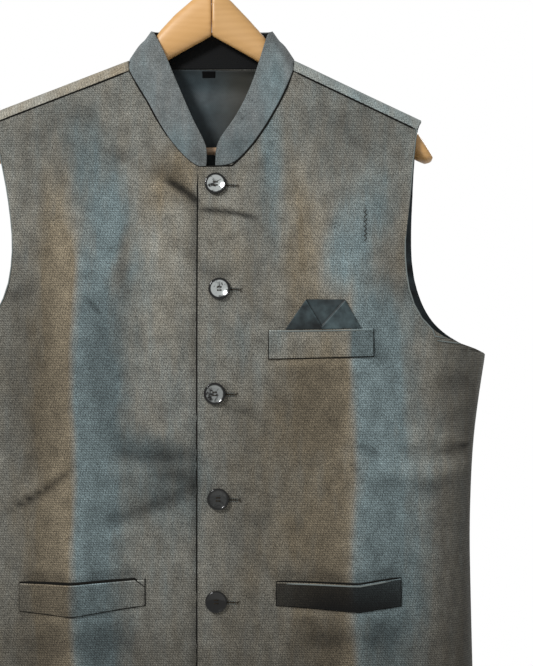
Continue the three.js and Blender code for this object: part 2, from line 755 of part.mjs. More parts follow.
// A four-hole button, turned on its own axis and laid with its face to the front.
function buttonGeometry() {
  const r = BUTTON.radius;
  const t = BUTTON.thickness;
  const profile = [
    new THREE.Vector2(0, 0),
    new THREE.Vector2(r - 2.4, 0),
    new THREE.Vector2(r - 0.5, t * 0.35),
    new THREE.Vector2(r, t * 0.6),
    new THREE.Vector2(r - 0.5, t * 0.88),
    new THREE.Vector2(r - BUTTON.rim / 2, t),
    new THREE.Vector2(r - BUTTON.rim, t - 0.3),
    new THREE.Vector2(r - BUTTON.rim - 1.4, t - BUTTON.dish),
    new THREE.Vector2(0, t - BUTTON.dish),
  ];
  let solid = toSolid(new THREE.LatheGeometry(profile, BUTTON.sides));
  for (const sx of [-1, 1]) {
    for (const sz of [-1, 1]) {
      const hole = new THREE.CylinderGeometry(BUTTON.hole, BUTTON.hole, 4 * t, 10);
      hole.translate(sx * BUTTON.holeSpread, 0, sz * BUTTON.holeSpread);
      solid = solid.subtract(toSolid(hole));
    }
  }
  return fromSolid(solid).rotateX(Math.PI);
}

function buttons() {
  return BUTTON_CENTRES.map((centre, i) => {
    const mesh = namedMesh(`button_${i + 1}`, buttonGeometry(), BUTTON_RESIN);
    const high = bodyPoint(centre.x, centre.z + BUTTON.radius, -1);
    const low = bodyPoint(centre.x, centre.z - BUTTON.radius, -1);
    mesh.position.copy(bodyPoint(centre.x, centre.z, -1)).add(new THREE.Vector3(0, -LAY_GAP, 0));
    mesh.rotation.x = -Math.atan2(high.y - low.y, high.z - low.z);
    return mesh;
  });
}

// -------------------------------------------------------------------------- the hanger

// One section of an arm: a rounded ring in the plane of its x.
function armRing(section, sign) {
  const ring = [];
  const middle = (section.top + section.bottom) / 2;
  const tall = (section.top - section.bottom) / 2;
  for (let i = 0; i < ARM_RING; i += 1) {
    const angle = 2 * Math.PI * i / ARM_RING;
    const round = (v) => Math.sign(v) * Math.abs(v) ** ARM_ROUND;
    ring.push(new THREE.Vector3(
      sign * section.x,
      section.half * round(Math.cos(angle)),
      middle + tall * round(Math.sin(angle)),
    ));
  }
  return ring;
}

function hangerArm(name, sign) {
  const positions = [];
  const triangles = [];
  const ownSections = ARM_SECTIONS.map((section) => ({
    ...section,
    top: section.top + (sign < 0 ? section.rise ?? 0 : 0),
  }));
  ownSections.forEach((section) => armRing(section, sign).forEach((p) => positions.push(p.x, p.y, p.z)));
  for (let s = 0; s < ARM_SECTIONS.length - 1; s += 1) {
    for (let i = 0; i < ARM_RING; i += 1) {
      const j = (i + 1) % ARM_RING;
      const [a, b] = [s * ARM_RING + i, s * ARM_RING + j];
      triangles.push(a, b, b + ARM_RING, a, b + ARM_RING, a + ARM_RING);
    }
  }
  const last = (ARM_SECTIONS.length - 1) * ARM_RING;
  for (let i = 1; i < ARM_RING - 1; i += 1) {
    triangles.push(0, i + 1, i, last, last + i, last + i + 1);
  }
  const blank = indexedMesh(name, positions, facingOut(positions, triangles), HANGER_WOOD);
  const socket = new THREE.CylinderGeometry(BAR.radius + SEAM_GAP, BAR.radius + SEAM_GAP, 2 * BAR.socket, BAR.sides);
  socket.rotateZ(Math.PI / 2).translate(0, 0, BAR.z);
  const stemHole = new THREE.CylinderGeometry(HOOK.wire / 2 + SEAM_GAP, HOOK.wire / 2 + SEAM_GAP, 60, HOOK.sides);
  stemHole.rotateX(Math.PI / 2).translate(0, 0, HOOK.foot - 16 + 30);
  const cut = toSolid(blank.geometry).subtract(toSolid(socket)).subtract(toSolid(stemHole));
  return namedMesh(name, fromSolid(cut), HANGER_WOOD);
}

function hangerBar() {
  const bar = new THREE.CylinderGeometry(BAR.radius, BAR.radius, 2 * (BAR.end - SEAM_GAP), BAR.sides);
  return namedMesh('hanger_bar', bar.rotateZ(Math.PI / 2).translate(0, 0, BAR.z), HANGER_WOOD);
}

// The wire rises from the wood, bends out to one side and turns over the rail.
function hookPath() {
  const crownZ = LEVEL_DROP + HOOK.wire / 2 - HOOK.crown;
  const points = [
    new THREE.Vector3(0, 0, HOOK.foot - 16),
    new THREE.Vector3(0, 0, HOOK.foot),
    new THREE.Vector3(0, 0, HOOK.bend),
  ];
  for (let degrees = -48; degrees <= 204; degrees += 18) {
    const angle = THREE.MathUtils.degToRad(degrees);
    points.push(new THREE.Vector3(HOOK.crown * Math.cos(angle), 0, crownZ + HOOK.crown * Math.sin(angle)));
  }
  return new THREE.CatmullRomCurve3(points, false, 'centripetal');
}

function hangerHook() {
  const section = new THREE.Shape();
  for (let i = 0; i < HOOK.sides; i += 1) {
    const angle = 2 * Math.PI * i / HOOK.sides;
    const [u, v] = [HOOK.wire / 2 * Math.cos(angle), HOOK.wire / 2 * Math.sin(angle)];
    if (i === 0) {
      section.moveTo(u, v);
    } else {
      section.lineTo(u, v);
    }
  }
  const wire = new THREE.ExtrudeGeometry(section, { steps: HOOK.steps, bevelEnabled: false, extrudePath: hookPath() });
  return namedMesh('hanger_hook', wire, HOOK_STEEL);
}

// ---------------------------------------------------------------------------- assembly

const garment = new THREE.Group();
garment.add(
  frontPanel('front_left', 1, COLLAR_WEARERS_LEFT, LAP_EDGE, TOP_EDGE, false),
  frontPanel('front_right', -1, COLLAR_WEARERS_RIGHT, UNDERLAP_EDGE, TOP_EDGE - 2, true),
  backPanel(),
  backLining(),
  collar(),
  neckLabel(),
  welt('chest_welt', CHEST_WELT),
  welt('welt_left', WELT_WEARERS_LEFT),
  welt('welt_right', WELT_WEARERS_RIGHT),
  pocketSquare(),
  ...buttons(),
);

const hanger = new THREE.Group();
hanger.add(
  hangerArm('hanger_arm_left', 1),
  hangerArm('hanger_arm_right', -1),
  hangerBar(),
  hangerHook(),
);

const part = new THREE.Group();
part.add(garment, hanger);
part.children.forEach((group) => group.position.set(0, 0, -LEVEL_DROP));

export default part;
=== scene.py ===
"""Looks of a nehru jacket on a wooden hanger: cloth, lining, buttons, stitches, wood and steel."""

import json
import math

import bmesh
import bpy
import numpy as np
from bpy.props import FloatProperty, PointerProperty
from mathutils import Matrix, Vector, noise

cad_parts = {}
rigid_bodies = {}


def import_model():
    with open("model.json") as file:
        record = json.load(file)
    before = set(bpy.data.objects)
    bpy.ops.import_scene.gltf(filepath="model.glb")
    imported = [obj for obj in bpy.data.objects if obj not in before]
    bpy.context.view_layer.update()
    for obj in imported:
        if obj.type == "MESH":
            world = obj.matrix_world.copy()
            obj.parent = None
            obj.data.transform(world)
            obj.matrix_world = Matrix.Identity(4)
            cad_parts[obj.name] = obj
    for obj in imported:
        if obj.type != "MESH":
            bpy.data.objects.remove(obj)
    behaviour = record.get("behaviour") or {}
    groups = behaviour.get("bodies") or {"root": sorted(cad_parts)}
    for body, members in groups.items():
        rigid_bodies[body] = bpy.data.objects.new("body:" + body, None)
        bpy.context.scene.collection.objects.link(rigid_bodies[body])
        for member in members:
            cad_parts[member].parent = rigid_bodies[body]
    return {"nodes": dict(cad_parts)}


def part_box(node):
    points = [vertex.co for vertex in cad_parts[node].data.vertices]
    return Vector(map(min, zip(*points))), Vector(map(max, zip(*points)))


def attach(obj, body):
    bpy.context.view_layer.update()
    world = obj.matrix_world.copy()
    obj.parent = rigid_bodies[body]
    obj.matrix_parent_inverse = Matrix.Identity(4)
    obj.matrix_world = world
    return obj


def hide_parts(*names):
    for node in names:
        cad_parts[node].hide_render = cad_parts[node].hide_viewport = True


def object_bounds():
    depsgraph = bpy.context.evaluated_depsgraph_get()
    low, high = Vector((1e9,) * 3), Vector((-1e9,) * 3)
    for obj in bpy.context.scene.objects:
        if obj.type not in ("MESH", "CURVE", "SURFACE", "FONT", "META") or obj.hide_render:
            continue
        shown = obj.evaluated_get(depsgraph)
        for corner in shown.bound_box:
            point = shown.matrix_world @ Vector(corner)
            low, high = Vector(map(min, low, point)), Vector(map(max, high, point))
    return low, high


bl_info = {
    "name": "Nehru jacket on a hanger",
    "version": (1, 0, 0),
    "blender": (4, 5, 0),
    "location": "View3D > Sidebar > Jacket",
    "description": "Builds the finished cloth, buttons and hanger on the jacket's frame",
    "category": "Object",
}

for leftover in list(bpy.data.objects):
    bpy.data.objects.remove(leftover)
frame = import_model()
CAD_LOW, CAD_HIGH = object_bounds()

MM = 0.001
MERGE = 1e-6                    # metres within which two corners are one
SHARP = math.radians(48)        # an edge that turns by more than this is a rim

# Sizes of the form that the cloth hangs in, in millimetres from the level line, which lies
# RIDGE_AT_NECK below the top of the back.
RIDGE_AT_NECK = 9
LEFT_SLOPE, RIGHT_SLOPE = 63 / 132, 55.5 / 143     # fall of each shoulder for a millimetre outward
NECK_HALF = 84
SHOULDER_ROLL = 26
SIDE_ROLL = 60
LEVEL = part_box("back")[1].z - RIDGE_AT_NECK * MM
BODY_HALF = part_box("back")[1].x / MM
FRONT_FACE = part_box("front_left")[0].y
LAP_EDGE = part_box("front_left")[0].x / MM


# ------------------------------------------------------------------------- creases

CREASE = "x0 z0 x1 z1 bow wide lift"
TINT = "x z rx rz turn cool shade"


def table(columns, rows):
    """Rows of numbers under named columns."""
    return [dict(zip(columns.split(), row)) for row in rows]


# Each crease runs from x0, z0 to x1, z1 in millimetres from the level line, bows sideways by
# bow, is wide across and stands lift proud of the cloth, or sinks in where lift is negative.
FRONT_CREASES = table(CREASE, [
    # soft vertical drapes that part the bands of colour
    (-139, -150, -136, -715, 3, 13, 1.5),
    (144, -205, 144, -715, -3, 13, 1.6),
    (-101, -225, -96, -390, 2, 16, -0.8),
    (-48, -170, -62, -330, -5, 18, 0.9),
    (60, -120, 42, -260, 4, 15, -0.8),
    (98, -60, 118, -225, 5, 18, 0.8),
    (178, -110, 170, -330, -4, 17, -0.7),
    # the neck and the first button
    (-46, -116, -12, -142, -2, 5, -3.0),
    (-62, -120, -18, -160, -4, 9, 1.8),
    (-40, -88, -14, -124, -3, 6, 1.6),
    (-11, -149, 48, -157, -2, 4, -2.2),
    (-10, -142, 44, -149, -2, 5, 1.2),
    (-102, -80, -82, -96, 1, 6, -0.8),
    (30, -112, 62, -96, 2, 7, -0.8),
    # across the waist on the wearer's left
    (138, -377, 266, -386, -6, 7, 1.9),
    (136, -386, 172, -394, 2, 4, -1.6),
    (226, -392, 262, -388, 1, 4, -1.2),
    (142, -405, 262, -404, 7, 7, 1.6),
    (150, -420, 250, -420, 6, 9, -0.9),
    # across the waist on the wearer's right
    (-192, -446, -132, -405, 3, 4, -2.0),
    (-196, -438, -136, -398, 3, 6, 1.1),
    (-104, -391, -12, -393, 4, 9, -1.1),
    (-100, -405, -16, -404, 3, 7, 0.9),
    (-48, -411, -12, -430, -2, 8, -1.0),
    (-112, -464, -12, -427, 4, 8, -1.3),
    (-108, -476, -16, -442, 4, 8, 0.8),
    (-262, -372, -205, -384, 2, 8, -1.3),
    (-262, -384, -200, -398, 2, 8, 1.0),
    # small marks and pulls
    (157, -143, 157, -184, 0, 2.2, -0.9),
    (-121, -242, -110, -254, 0, 3, -0.7),
    (14, -345, 44, -352, 1, 6, -0.9),
    (16, -452, 66, -462, 2, 7, -0.9),
    (-16, -238, -52, -250, -2, 7, -0.8),
    (-16, -343, -60, -352, -2, 7, -0.8),
    (60, -580, 190, -584, 4, 12, -0.5),
    (-190, -584, -62, -580, 4, 12, -0.5),
    # round the armholes
    (202, -96, 192, -190, -4, 9, 0.9),
    (206, -236, 172, -222, 3, 9, -0.9),
    (-202, -96, -192, -190, 4, 9, 0.9),
    (-206, -236, -170, -226, 3, 9, -0.9),
    (266, -318, 226, -330, 3, 9, -1.0),
    (-266, -318, -226, -330, 3, 9, -1.0),
])

# Where the cloth's own folds and edges shade it: as a crease, with lift the change of shade.
FRONT_SHADOWS = table(CREASE, [
    (-44, -120, -11, -142, -2, 3.2, -0.5),
    (-17, -132, -15, -215, 0, 6, -0.42),
    (-84, -135, -84, -238, 2, 8, -0.22),
    (-126, -236, -110, -254, 0, 2.4, -0.36),
    (-64, -74, -46, -120, 3, 7, -0.22),
    (-8, -182, 30, -172, 2, 3, -0.26),
    (188, -76, 194, -140, 0, 10, -0.14),
    (-112, -84, -84, -98, 2, 4, -0.22),
    (-40, -252, -14, -262, 1, 5, -0.2),
    (12, -346, 50, -356, 1, 5, -0.2),
    (-170, -60, -110, -36, 4, 12, -0.14),
    (-15.5, -190, -15.5, -700, 0, 4, -0.3),
    (-14, -148, 46, -157, -2, 1.9, -0.55),
    (-12, -208, 26, -206, 5, 8, -0.32),
    (-96, -394, -14, -396, 4, 8, -0.1),
    (-120, -466, -14, -424, 4, 5, -0.12),
    (-60, -410, -14, -412, 0, 10, -0.22),
    (-186, -516, -136, -519, 0, 5, -0.34),
    (-136, -520, -68, -511, 0, 4, -0.34),
    (-188, -556, -132, -562, 0, 2.6, 0.22),
    (-132, -562, -64, -552, 0, 2.6, 0.22),
    (-170, -574, -76, -572, 3, 12, -0.2),
    (68, -515, 142, -518, 0, 6, -0.3),
    (142, -518, 192, -510, 0, 6, -0.3),
    (68, -552, 142, -556, 0, 3, 0.3),
    (142, -556, 192, -550, 0, 3, 0.3),
    (84, -574, 196, -570, 3, 11, -0.2),
    (146, -399, 262, -399, 3, 9, 0.24),
    (143, -384, 168, -391, 0, 2.4, -0.45),
    (142, -378, 178, -376, 0, 2, -0.3),
    (236, -389, 264, -386, 0, 2.6, -0.45),
    (139, -399, 147, -413, 0, 3, -0.4),
    (-206, -452, -138, -408, 2, 2, -0.4),
    (-206, -396, -140, -392, 1, 3, -0.16),
    (164, -276, 170, -304, 0, 6, -0.24),
    (62, -304, 158, -304, -2, 4, 0.22),
    (80, -238, 70, -268, 0, 8, -0.16),
    (206, -232, 262, -296, -10, 10, -0.2),
    (270, -300, 262, -640, 0, 16, -0.2),
    (-208, -232, -262, -296, 10, 10, -0.16),
])

# The hidden side carries creases of the same kinds, placed where a hung back pulls.
BACK_CREASES = table(CREASE, [
    (-132, -160, -140, -715, 4, 14, 1.6),
    (122, -140, 134, -715, -4, 14, 1.7),
    (-24, -230, -18, -715, 3, 18, -1.2),
    (52, -40, 70, -230, 3, 16, -0.8),
    (-60, -36, -78, -200, -3, 16, 0.8),
    (-70, -14, 70, -14, -8, 7, -1.1),
    (-58, -27, 62, -28, -8, 9, 0.9),
    (-210, -384, -40, -402, 7, 9, -1.8),
    (-200, -400, -60, -418, 6, 8, 1.4),
    (30, -392, 226, -372, -7, 9, -1.9),
    (52, -408, 212, -390, -6, 8, 1.3),
    (-150, -470, -30, -446, 4, 8, -1.1),
    (60, -452, 168, -480, 4, 9, -1.2),
    (206, -232, 150, -214, 3, 10, -1.1),
    (-208, -228, -146, -208, 3, 10, -1.0),
    (-266, -322, -206, -340, 3, 10, -1.1),
    (262, -326, 200, -346, 3, 10, -1.1),
])

# Bands and clouds of painted light on the shot cloth: painted warm light where its folds turn to
# the left and painted cool light where they turn to the right. Each is centred on x, z, reaches rx
# along its own line and rz across it, is turned by turn degrees, makes the cloth cool (blue-grey) or
# warm (brown, negative), and lightens or darkens it, partly with painted shade and light and partly
# as the cloth's uneven tone.
FRONT_TINTS = table(TINT, [
    (-150, -80, 60, 52, 25, 0.1, -0.2),
    (-190, -400, 24, 330, 0, -0.1, -0.2),
    (-152, -200, 17, 110, -4, -1.0, 0.14),
    (-158, -470, 24, 190, 0, -0.8, -0.04),
    (-102, -150, 26, 90, -22, 0.95, 0.0),
    (-114, -330, 24, 130, 0, 1.0, 0.08),
    (-110, -560, 30, 130, 0, 0.8, -0.04),
    (-52, -200, 42, 90, 0, -0.25, 0.26),
    (-86, -195, 9, 32, 12, -0.9, -0.18),
    (-70, -222, 34, 22, -30, 0.1, -0.18),
    (-36, -112, 24, 38, 30, -0.9, -0.2),
    (-50, -330, 40, 40, 0, 0.1, 0.16),
    (-60, -388, 46, 14, 10, 0.4, -0.22),
    (-40, -460, 44, 34, -20, 0.3, -0.12),
    (22, -180, 24, 60, 0, -0.3, 0.14),
    (64, -110, 13, 95, -4, 1.0, 0.0),
    (92, -190, 26, 100, -8, -0.9, 0.12),
    (140, -62, 60, 36, -22, 0.15, -0.26),
    (142, -180, 26, 80, 24, 1.0, 0.22),
    (168, -300, 26, 90, 4, 0.9, 0.14),
    (190, -200, 14, 50, 10, -0.5, -0.08),
    (40, -300, 34, 50, 0, 0.2, 0.06),
    (100, -340, 46, 50, 0, -0.5, -0.14),
    (92, -440, 56, 170, 0, -0.6, -0.16),
    (30, -470, 26, 190, 0, -0.2, -0.2),
    (184, -500, 38, 160, 0, 0.9, -0.04),
    (250, -450, 34, 260, 0, -0.2, -0.34),
    (-262, -430, 44, 300, 0, -0.3, -0.25),
    (-165, -310, 60, 110, 0, -0.1, -0.22),
    (-78, -300, 60, 70, 20, 0.1, -0.2),
    (-120, -610, 140, 110, 0, -0.1, -0.24),
    (160, -600, 90, 100, 0, -0.1, -0.3),
    (-40, -420, 44, 34, -15, 0.3, -0.26),
    (-90, -420, 50, 60, 0, 0.1, -0.12),
    (0, -680, 400, 110, 0, -0.2, -0.26),
])
BACK_TINTS = table(TINT, [
    (-190, -370, 44, 330, 0, 0.8, -0.1),
    (-110, -300, 40, 260, 6, -0.8, 0.06),
    (-20, -260, 42, 240, -6, 0.7, 0.1),
    (70, -330, 38, 280, 4, -0.8, 0.04),
    (150, -380, 38, 300, 0, 0.8, 0.0),
    (225, -430, 34, 300, 0, -0.6, -0.2),
    (-60, -560, 60, 80, 20, 0.3, -0.14),
    (0, -680, 400, 110, 0, -0.2, -0.26),
])
COLLAR_TINTS = table(TINT, [
    (-72, -20, 16, 34, 0, 0.3, 0.1),
    (-40, -86, 16, 26, 30, 0.8, 0.08),
    (66, -30, 14, 50, 0, 0.8, 0.14),
    (36, -84, 18, 20, -30, 0.4, -0.16),
    (-14, -90, 16, 16, 0, 0.2, -0.2),
    (14, -92, 18, 16, 0, 0.3, -0.16),
])

# The lines along crease ridges where the painted light on the cloth turns from warm, on the left, to cool, on
# the right.
TINT_EDGES = table("x top reach step", [
    (-137, -148, 40, 0.7),
    (143, -196, 44, 0.7),
])

# Short pulls in the lining where the armhole tapes gather it.
LINING_PUCKERS = [
    dict(x0=side * 184, z0=z + 4, x1=side * 216, z1=z - 3, bow=0.5, wide=2.6, lift=lift)
    for side in (-1, 1)
    for z, lift in ((-104, 0.8), (-127, -0.9), (-150, 0.9), (-172, -0.8), (-193, 1.2), (-203, -1.2),
                    (-215, 1.1), (-230, -1.1), (-245, 1.2), (-257, -0.9))
]

FILL = 0.5                      # how bright the studio is to the object, against what is seen
FOOT_TUCK = 1.6                 # the collar's foot reaches this far into the back neck seam, mm
SEAM_END = 219                  # the shoulder seam ends within this distance of the centre, mm
SEAM_TAIL = 6

# The pocket square's three folds: the middle one hangs from the top edge to a point.
SQUARE_LEFT, SQUARE_RIGHT, SQUARE_TOP = 96, 135, -240
SQUARE_APEX = (111.6, -266)

# Half of a button's section, as radius and height in mm, from its back to its dished face.
BUTTON_PROFILE = [
    (0, -1.6), (7.5, -1.6), (9.6, -1.35), (10.6, -0.7), (11, 0.1), (10.8, 0.9), (10.3, 1.35), (9.7, 1.4),
    (9.2, 1.2), (8.8, 0.98), (8.2, 0.78), (7, 0.36), (5.5, -0.08), (4, -0.38), (2, -0.62), (0, -0.7),
]
BUTTON_GLEAM = [0.95, 0.9, 0.3, 0.03, 0.0]     # how much the dish of each button mirrors the studio
BUTTON_DISH = -0.62             # height of the dished face over the button's middle
BUTTON_PIT = 1.6                # the four holes stand this far from the middle along each side

# Middles of the buttons that the buttonholes are cut for, and how far each one reaches.
BUTTONHOLES = [(5.4, -123.8), (9.3, -229.3), (4.7, -334.3), (8.2, -439.7), (6.2, -542.1)]
HOLE_REACH = 20

# Each welt's cut width and height in metres, its shade against the cloth, and its top thread: a dark cord
# above its top edge, partly seam and partly painted shadow of the gap there.
WELTS = [
    ("chest_welt", 0.104, 0.028, 0.0, 0.0),
    ("welt_left", 0.124, 0.026, -0.64, 0.9),
    ("welt_right", 0.125, 0.030, -0.1, 1.5),
]

# Half the thickness, in mm, of the threads and turned edges that are sewn on. The seam and lap
# threads, and the welt threads round the welts, are dark cords, partly seam and partly painted shadow.
SEAM_THREAD, LAP_THREAD, WELT_THREAD, EDGE_THREAD, FINE_THREAD = 0.9, 1.1, 0.75, 0.7, 0.24

COLOUR = {"data_type": "RGBA", "clamp_factor": False}

# The view: a 36 mm wide frame behind a long lens, level with the chest, in metres.
LENS, FILM_WIDTH, VIEW_X, VIEW_AWAY, VIEW_DROP = 64.86, 36, 0.0565, 1.197, 0.273
LAMPS = [("key", 0.5, 1.0, (-1.1, -1.5, 0.7)), ("rear", 1.2, 0.4, (1.2, 1.8, 0.6))]
LAMPS_AIM = Vector((0, 0, -0.4))
FLOOR_DROP, FLOOR_HALF = 0.45, 1.4


# ------------------------------------------------------------------------- helpers

def linear(hex_colour):
    """An sRGB colour such as "6E6B63" as linear red, green, blue and alpha."""
    channels = [int(hex_colour[i:i + 2], 16) / 255 for i in (0, 2, 4)]
    return [c / 12.92 if c < 0.04045 else ((c + 0.055) / 1.055) ** 2.4 for c in channels] + [1.0]


def smooth(t):
    """Rises smoothly from 0 to 1 as t does."""
    t = np.clip(t, 0, 1)
    return t * t * (3 - 2 * t)


def add(tree, kind, inputs=(), out=0, **settings):
    """Adds a shader node with its settings, sets or links its inputs, and returns one output."""
    node = tree.nodes.new("ShaderNode" + kind)
    for name, value in settings.items():
        setattr(node, name, value)
    for socket, given in dict(inputs).items():
        if isinstance(given, bpy.types.NodeSocket):
            tree.links.new(given, node.inputs[socket])
        else:
            node.inputs[socket].default_value = given
    return node.outputs[out] if node.outputs else None


def new_object(name, mesh):
    obj = bpy.data.objects.new(name, mesh)
    bpy.context.scene.collection.objects.link(obj)
    return obj


def finished(name, bm, material, slot, *nodes):
    """Makes a piece from a bmesh, gives it its finish and lets it stand for its CAD nodes."""
    mesh = bpy.data.meshes.new(name)
    bm.to_mesh(mesh)
    bm.free()
    return dressed(new_object(name, mesh), material, slot, *nodes)


def dressed(obj, material, slot, *nodes):
    obj.data.materials.clear()
    obj.data.materials.append(material)
    obj.data.shade_smooth()
    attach(obj, "root")
    if nodes:
        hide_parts(*nodes)
    return obj


def baked(obj):
    """Applies an object's modifiers to its mesh."""
    bpy.context.view_layer.update()
    graph = bpy.context.evaluated_depsgraph_get()
    mesh = bpy.data.meshes.new_from_object(obj.evaluated_get(graph))
    obj.modifiers.clear()
    obj.data = mesh
    return obj


# ------------------------------------------------------------------ forming the cloth

def cloth_from(node, name, levels, rim):
    """A CAD cloth solid with its quads restored, its rims creased by rim, and subdivided."""
    bm = bmesh.new()
    bm.from_mesh(frame["nodes"][node].data)
    bmesh.ops.remove_doubles(bm, verts=bm.verts, dist=MERGE)
    bmesh.ops.join_triangles(
        bm, faces=bm.faces, angle_face_threshold=math.radians(50),
        angle_shape_threshold=math.radians(60))
    crease = bm.edges.layers.float.new("crease_edge")
    for edge in bm.edges:
        if len(edge.link_faces) == 2 and edge.calc_face_angle() > SHARP:
            edge[crease] = rim
    mesh = bpy.data.meshes.new(name)
    bm.to_mesh(mesh)
    bm.free()
    obj = new_object(name, mesh)
    finer = obj.modifiers.new("finer", "SUBSURF")
    finer.levels = levels
    finer.render_levels = levels
    return baked(obj)


def points_of(mesh):
    """The mesh's points in millimetres from the level line, as columns x, y and z."""
    flat = np.zeros(len(mesh.vertices) * 3)
    mesh.vertices.foreach_get("co", flat)
    points = flat.reshape(-1, 3) / MM
    points[:, 2] -= LEVEL / MM
    return points


def set_points(mesh, points):
    moved = points.copy()
    moved[:, 2] += LEVEL / MM
    mesh.vertices.foreach_set("co", (moved * MM).ravel())
    mesh.update()


def ridge_height(x):
    """Height of the shoulder ridge; the wearer's right shoulder falls less steeply."""
    return RIDGE_AT_NECK - np.where(x < 0, RIGHT_SLOPE, LEFT_SLOPE) * np.maximum(0, np.abs(x) - NECK_HALF)


def outward(points):
    """The direction out of the hanging garment at each point."""
    x, z = points[:, 0], points[:, 2]
    ridge = ridge_height(x)
    core = np.stack([
        np.clip(x, SIDE_ROLL - BODY_HALF, BODY_HALF - SIDE_ROLL),
        np.zeros(len(x)),
        np.minimum(z, ridge - SHOULDER_ROLL),
    ], axis=1)
    out = points - core
    return out / np.maximum(np.linalg.norm(out, axis=1), 1e-6)[:, None]


def crease_lift(x, z, creases):
    """The height of all the creases at each x, z."""
    lift = np.zeros(len(x))
    for c in creases:
        dx, dz = c["x1"] - c["x0"], c["z1"] - c["z0"]
        length = math.hypot(dx, dz)
        along = ((x - c["x0"]) * dx + (z - c["z0"]) * dz) / length ** 2
        across = ((x - c["x0"]) * dz - (z - c["z0"]) * dx) / length
        across = across - c["bow"] * 4 * np.clip(along, 0, 1) * (1 - np.clip(along, 0, 1))
        taper = smooth(np.clip(along + 0.12, 0, 1) * 3) * smooth(np.clip(1.12 - along, 0, 1) * 3)
        lift += c["lift"] * taper * np.exp(-(across / c["wide"]) ** 2)
    return lift


def unevenness(x, z, side):
    """The cloth's own slow waviness, the same in every run."""
    return np.array([
        0.9 * noise.noise((a / 70, b / 120, side * 9.0)) + 0.35 * noise.noise((a / 24, b / 31, side * 5.0))
        for a, b in zip(x, z)])


def relax(mesh, creases, side, amount):
    """Lifts the cloth into its creases and its waviness, and leaves its side seams in place."""
    points = points_of(mesh)
    x, z = points[:, 0], points[:, 2]
    hold = smooth(np.abs(points[:, 1]) / 14)
    lift = (crease_lift(x, z, creases) + unevenness(x, z, side)) * amount * hold
    set_points(mesh, points + outward(points) * lift[:, None])


def tint_lookup(x, z, tints, edges):
    cool = np.zeros(len(x))
    shade = np.zeros(len(x))
    for t in tints:
        turn = math.radians(t["turn"])
        dx, dz = x - t["x"], z - t["z"]
        across = (dx * math.cos(turn) - dz * math.sin(turn)) / t["rx"]
        along = (dx * math.sin(turn) + dz * math.cos(turn)) / t["rz"]
        weight = np.exp(-(across ** 2 + along ** 2) ** 1.5)
        cool += t["cool"] * weight
        shade += t["shade"] * weight
    for e in edges:
        away = x - e["x"] - 2.5 * np.sin(z / 37.0)
        jump = np.tanh(away / 3.0) * np.exp(-(away / e["reach"]) ** 2)
        cool += e["step"] * jump * smooth((e["top"] - z) / 60)
    return cool, shade


def store(mesh, name, values):
    layer = mesh.attributes.new(name, "FLOAT", "POINT")
    layer.data.foreach_set("value", values.astype(np.float32))


def paint(mesh, tints, edges=(), creases=(), shadows=(), side=-1, over_ridge=True):
    """Stores the cloth's painted warm and cool light, its painted shade and light, which deepens in the
    creases and lightens on their ridges, its painted shade near black on the faces turned into the
    garment, and a weave map in millimetres."""
    points = points_of(mesh)
    x, y, z = points.T
    cool, shade = tint_lookup(x, z, tints, edges)
    shade += np.clip(0.2 * crease_lift(x, z, creases), -0.6, 0.24) + crease_lift(x, z, shadows)
    shade = np.maximum(shade, -0.85)
    normals = np.zeros(len(mesh.vertices) * 3)
    mesh.vertices.foreach_get("normal", normals)
    normals = normals.reshape(-1, 3)
    # painted shade: how far each face turns into the garment, where the cloth is drawn near black
    inside_shade = smooth(0.5 - 3 * (normals * outward(points)).sum(axis=1))
    for name, values in (("cool", cool), ("shade", shade), ("inside_shade", inside_shade)):
        store(mesh, name, values)
    depth = np.maximum(0, 40 - np.abs(y)) * smooth((np.abs(x) - BODY_HALF + SIDE_ROLL) / 20)
    ridge = ridge_height(x)
    roll = np.arcsin(np.clip((z - ridge) / SHOULDER_ROLL + 1, 0, 1))
    roll = np.where(y * side < 0, math.pi - roll, roll)
    rolled = ridge - SHOULDER_ROLL * (1 - roll)
    up = np.where((z > ridge - SHOULDER_ROLL) & over_ridge, rolled, z)
    weave = np.stack([x + np.sign(x) * depth, up], axis=1)
    uv = mesh.uv_layers.new(name="weave")
    corners = np.zeros(len(mesh.loops), dtype=np.int32)
    mesh.loops.foreach_get("vertex_index", corners)
    uv.data.foreach_set("uv", weave[corners].astype(np.float32).ravel())


def change_shade(mesh, amount, where, name="shade"):
    """Adds to a value of the points that where picks, given x, y, z and the normals."""
    normals = np.zeros(len(mesh.vertices) * 3)
    mesh.vertices.foreach_get("normal", normals)
    x, y, z = points_of(mesh).T
    layer = mesh.attributes[name]
    values = np.zeros(len(mesh.vertices), dtype=np.float32)
    layer.data.foreach_get("value", values)
    values += (amount * where(x, y, z, normals.reshape(-1, 3))).astype(np.float32)
    layer.data.foreach_set("value", values)


def everywhere(x, y, z, n):
    return np.ones(len(x))


def hit(obj, x, z):
    """The point, in metres, where a line from the front first meets the piece at x, z."""
    start = Vector((x * MM, -1, z * MM + LEVEL))
    found, place, _, _ = obj.ray_cast(start, Vector((0, 1, 0)))
    return place if found else None


def on_cloth(pieces, x, z, rise):
    """The outermost point of several pieces at x, z, raised towards the front by rise mm."""
    hits = [place for place in (hit(piece, x, z) for piece in pieces) if place]
    return min(hits, key=lambda p: p.y) - Vector((0, rise * MM, 0))


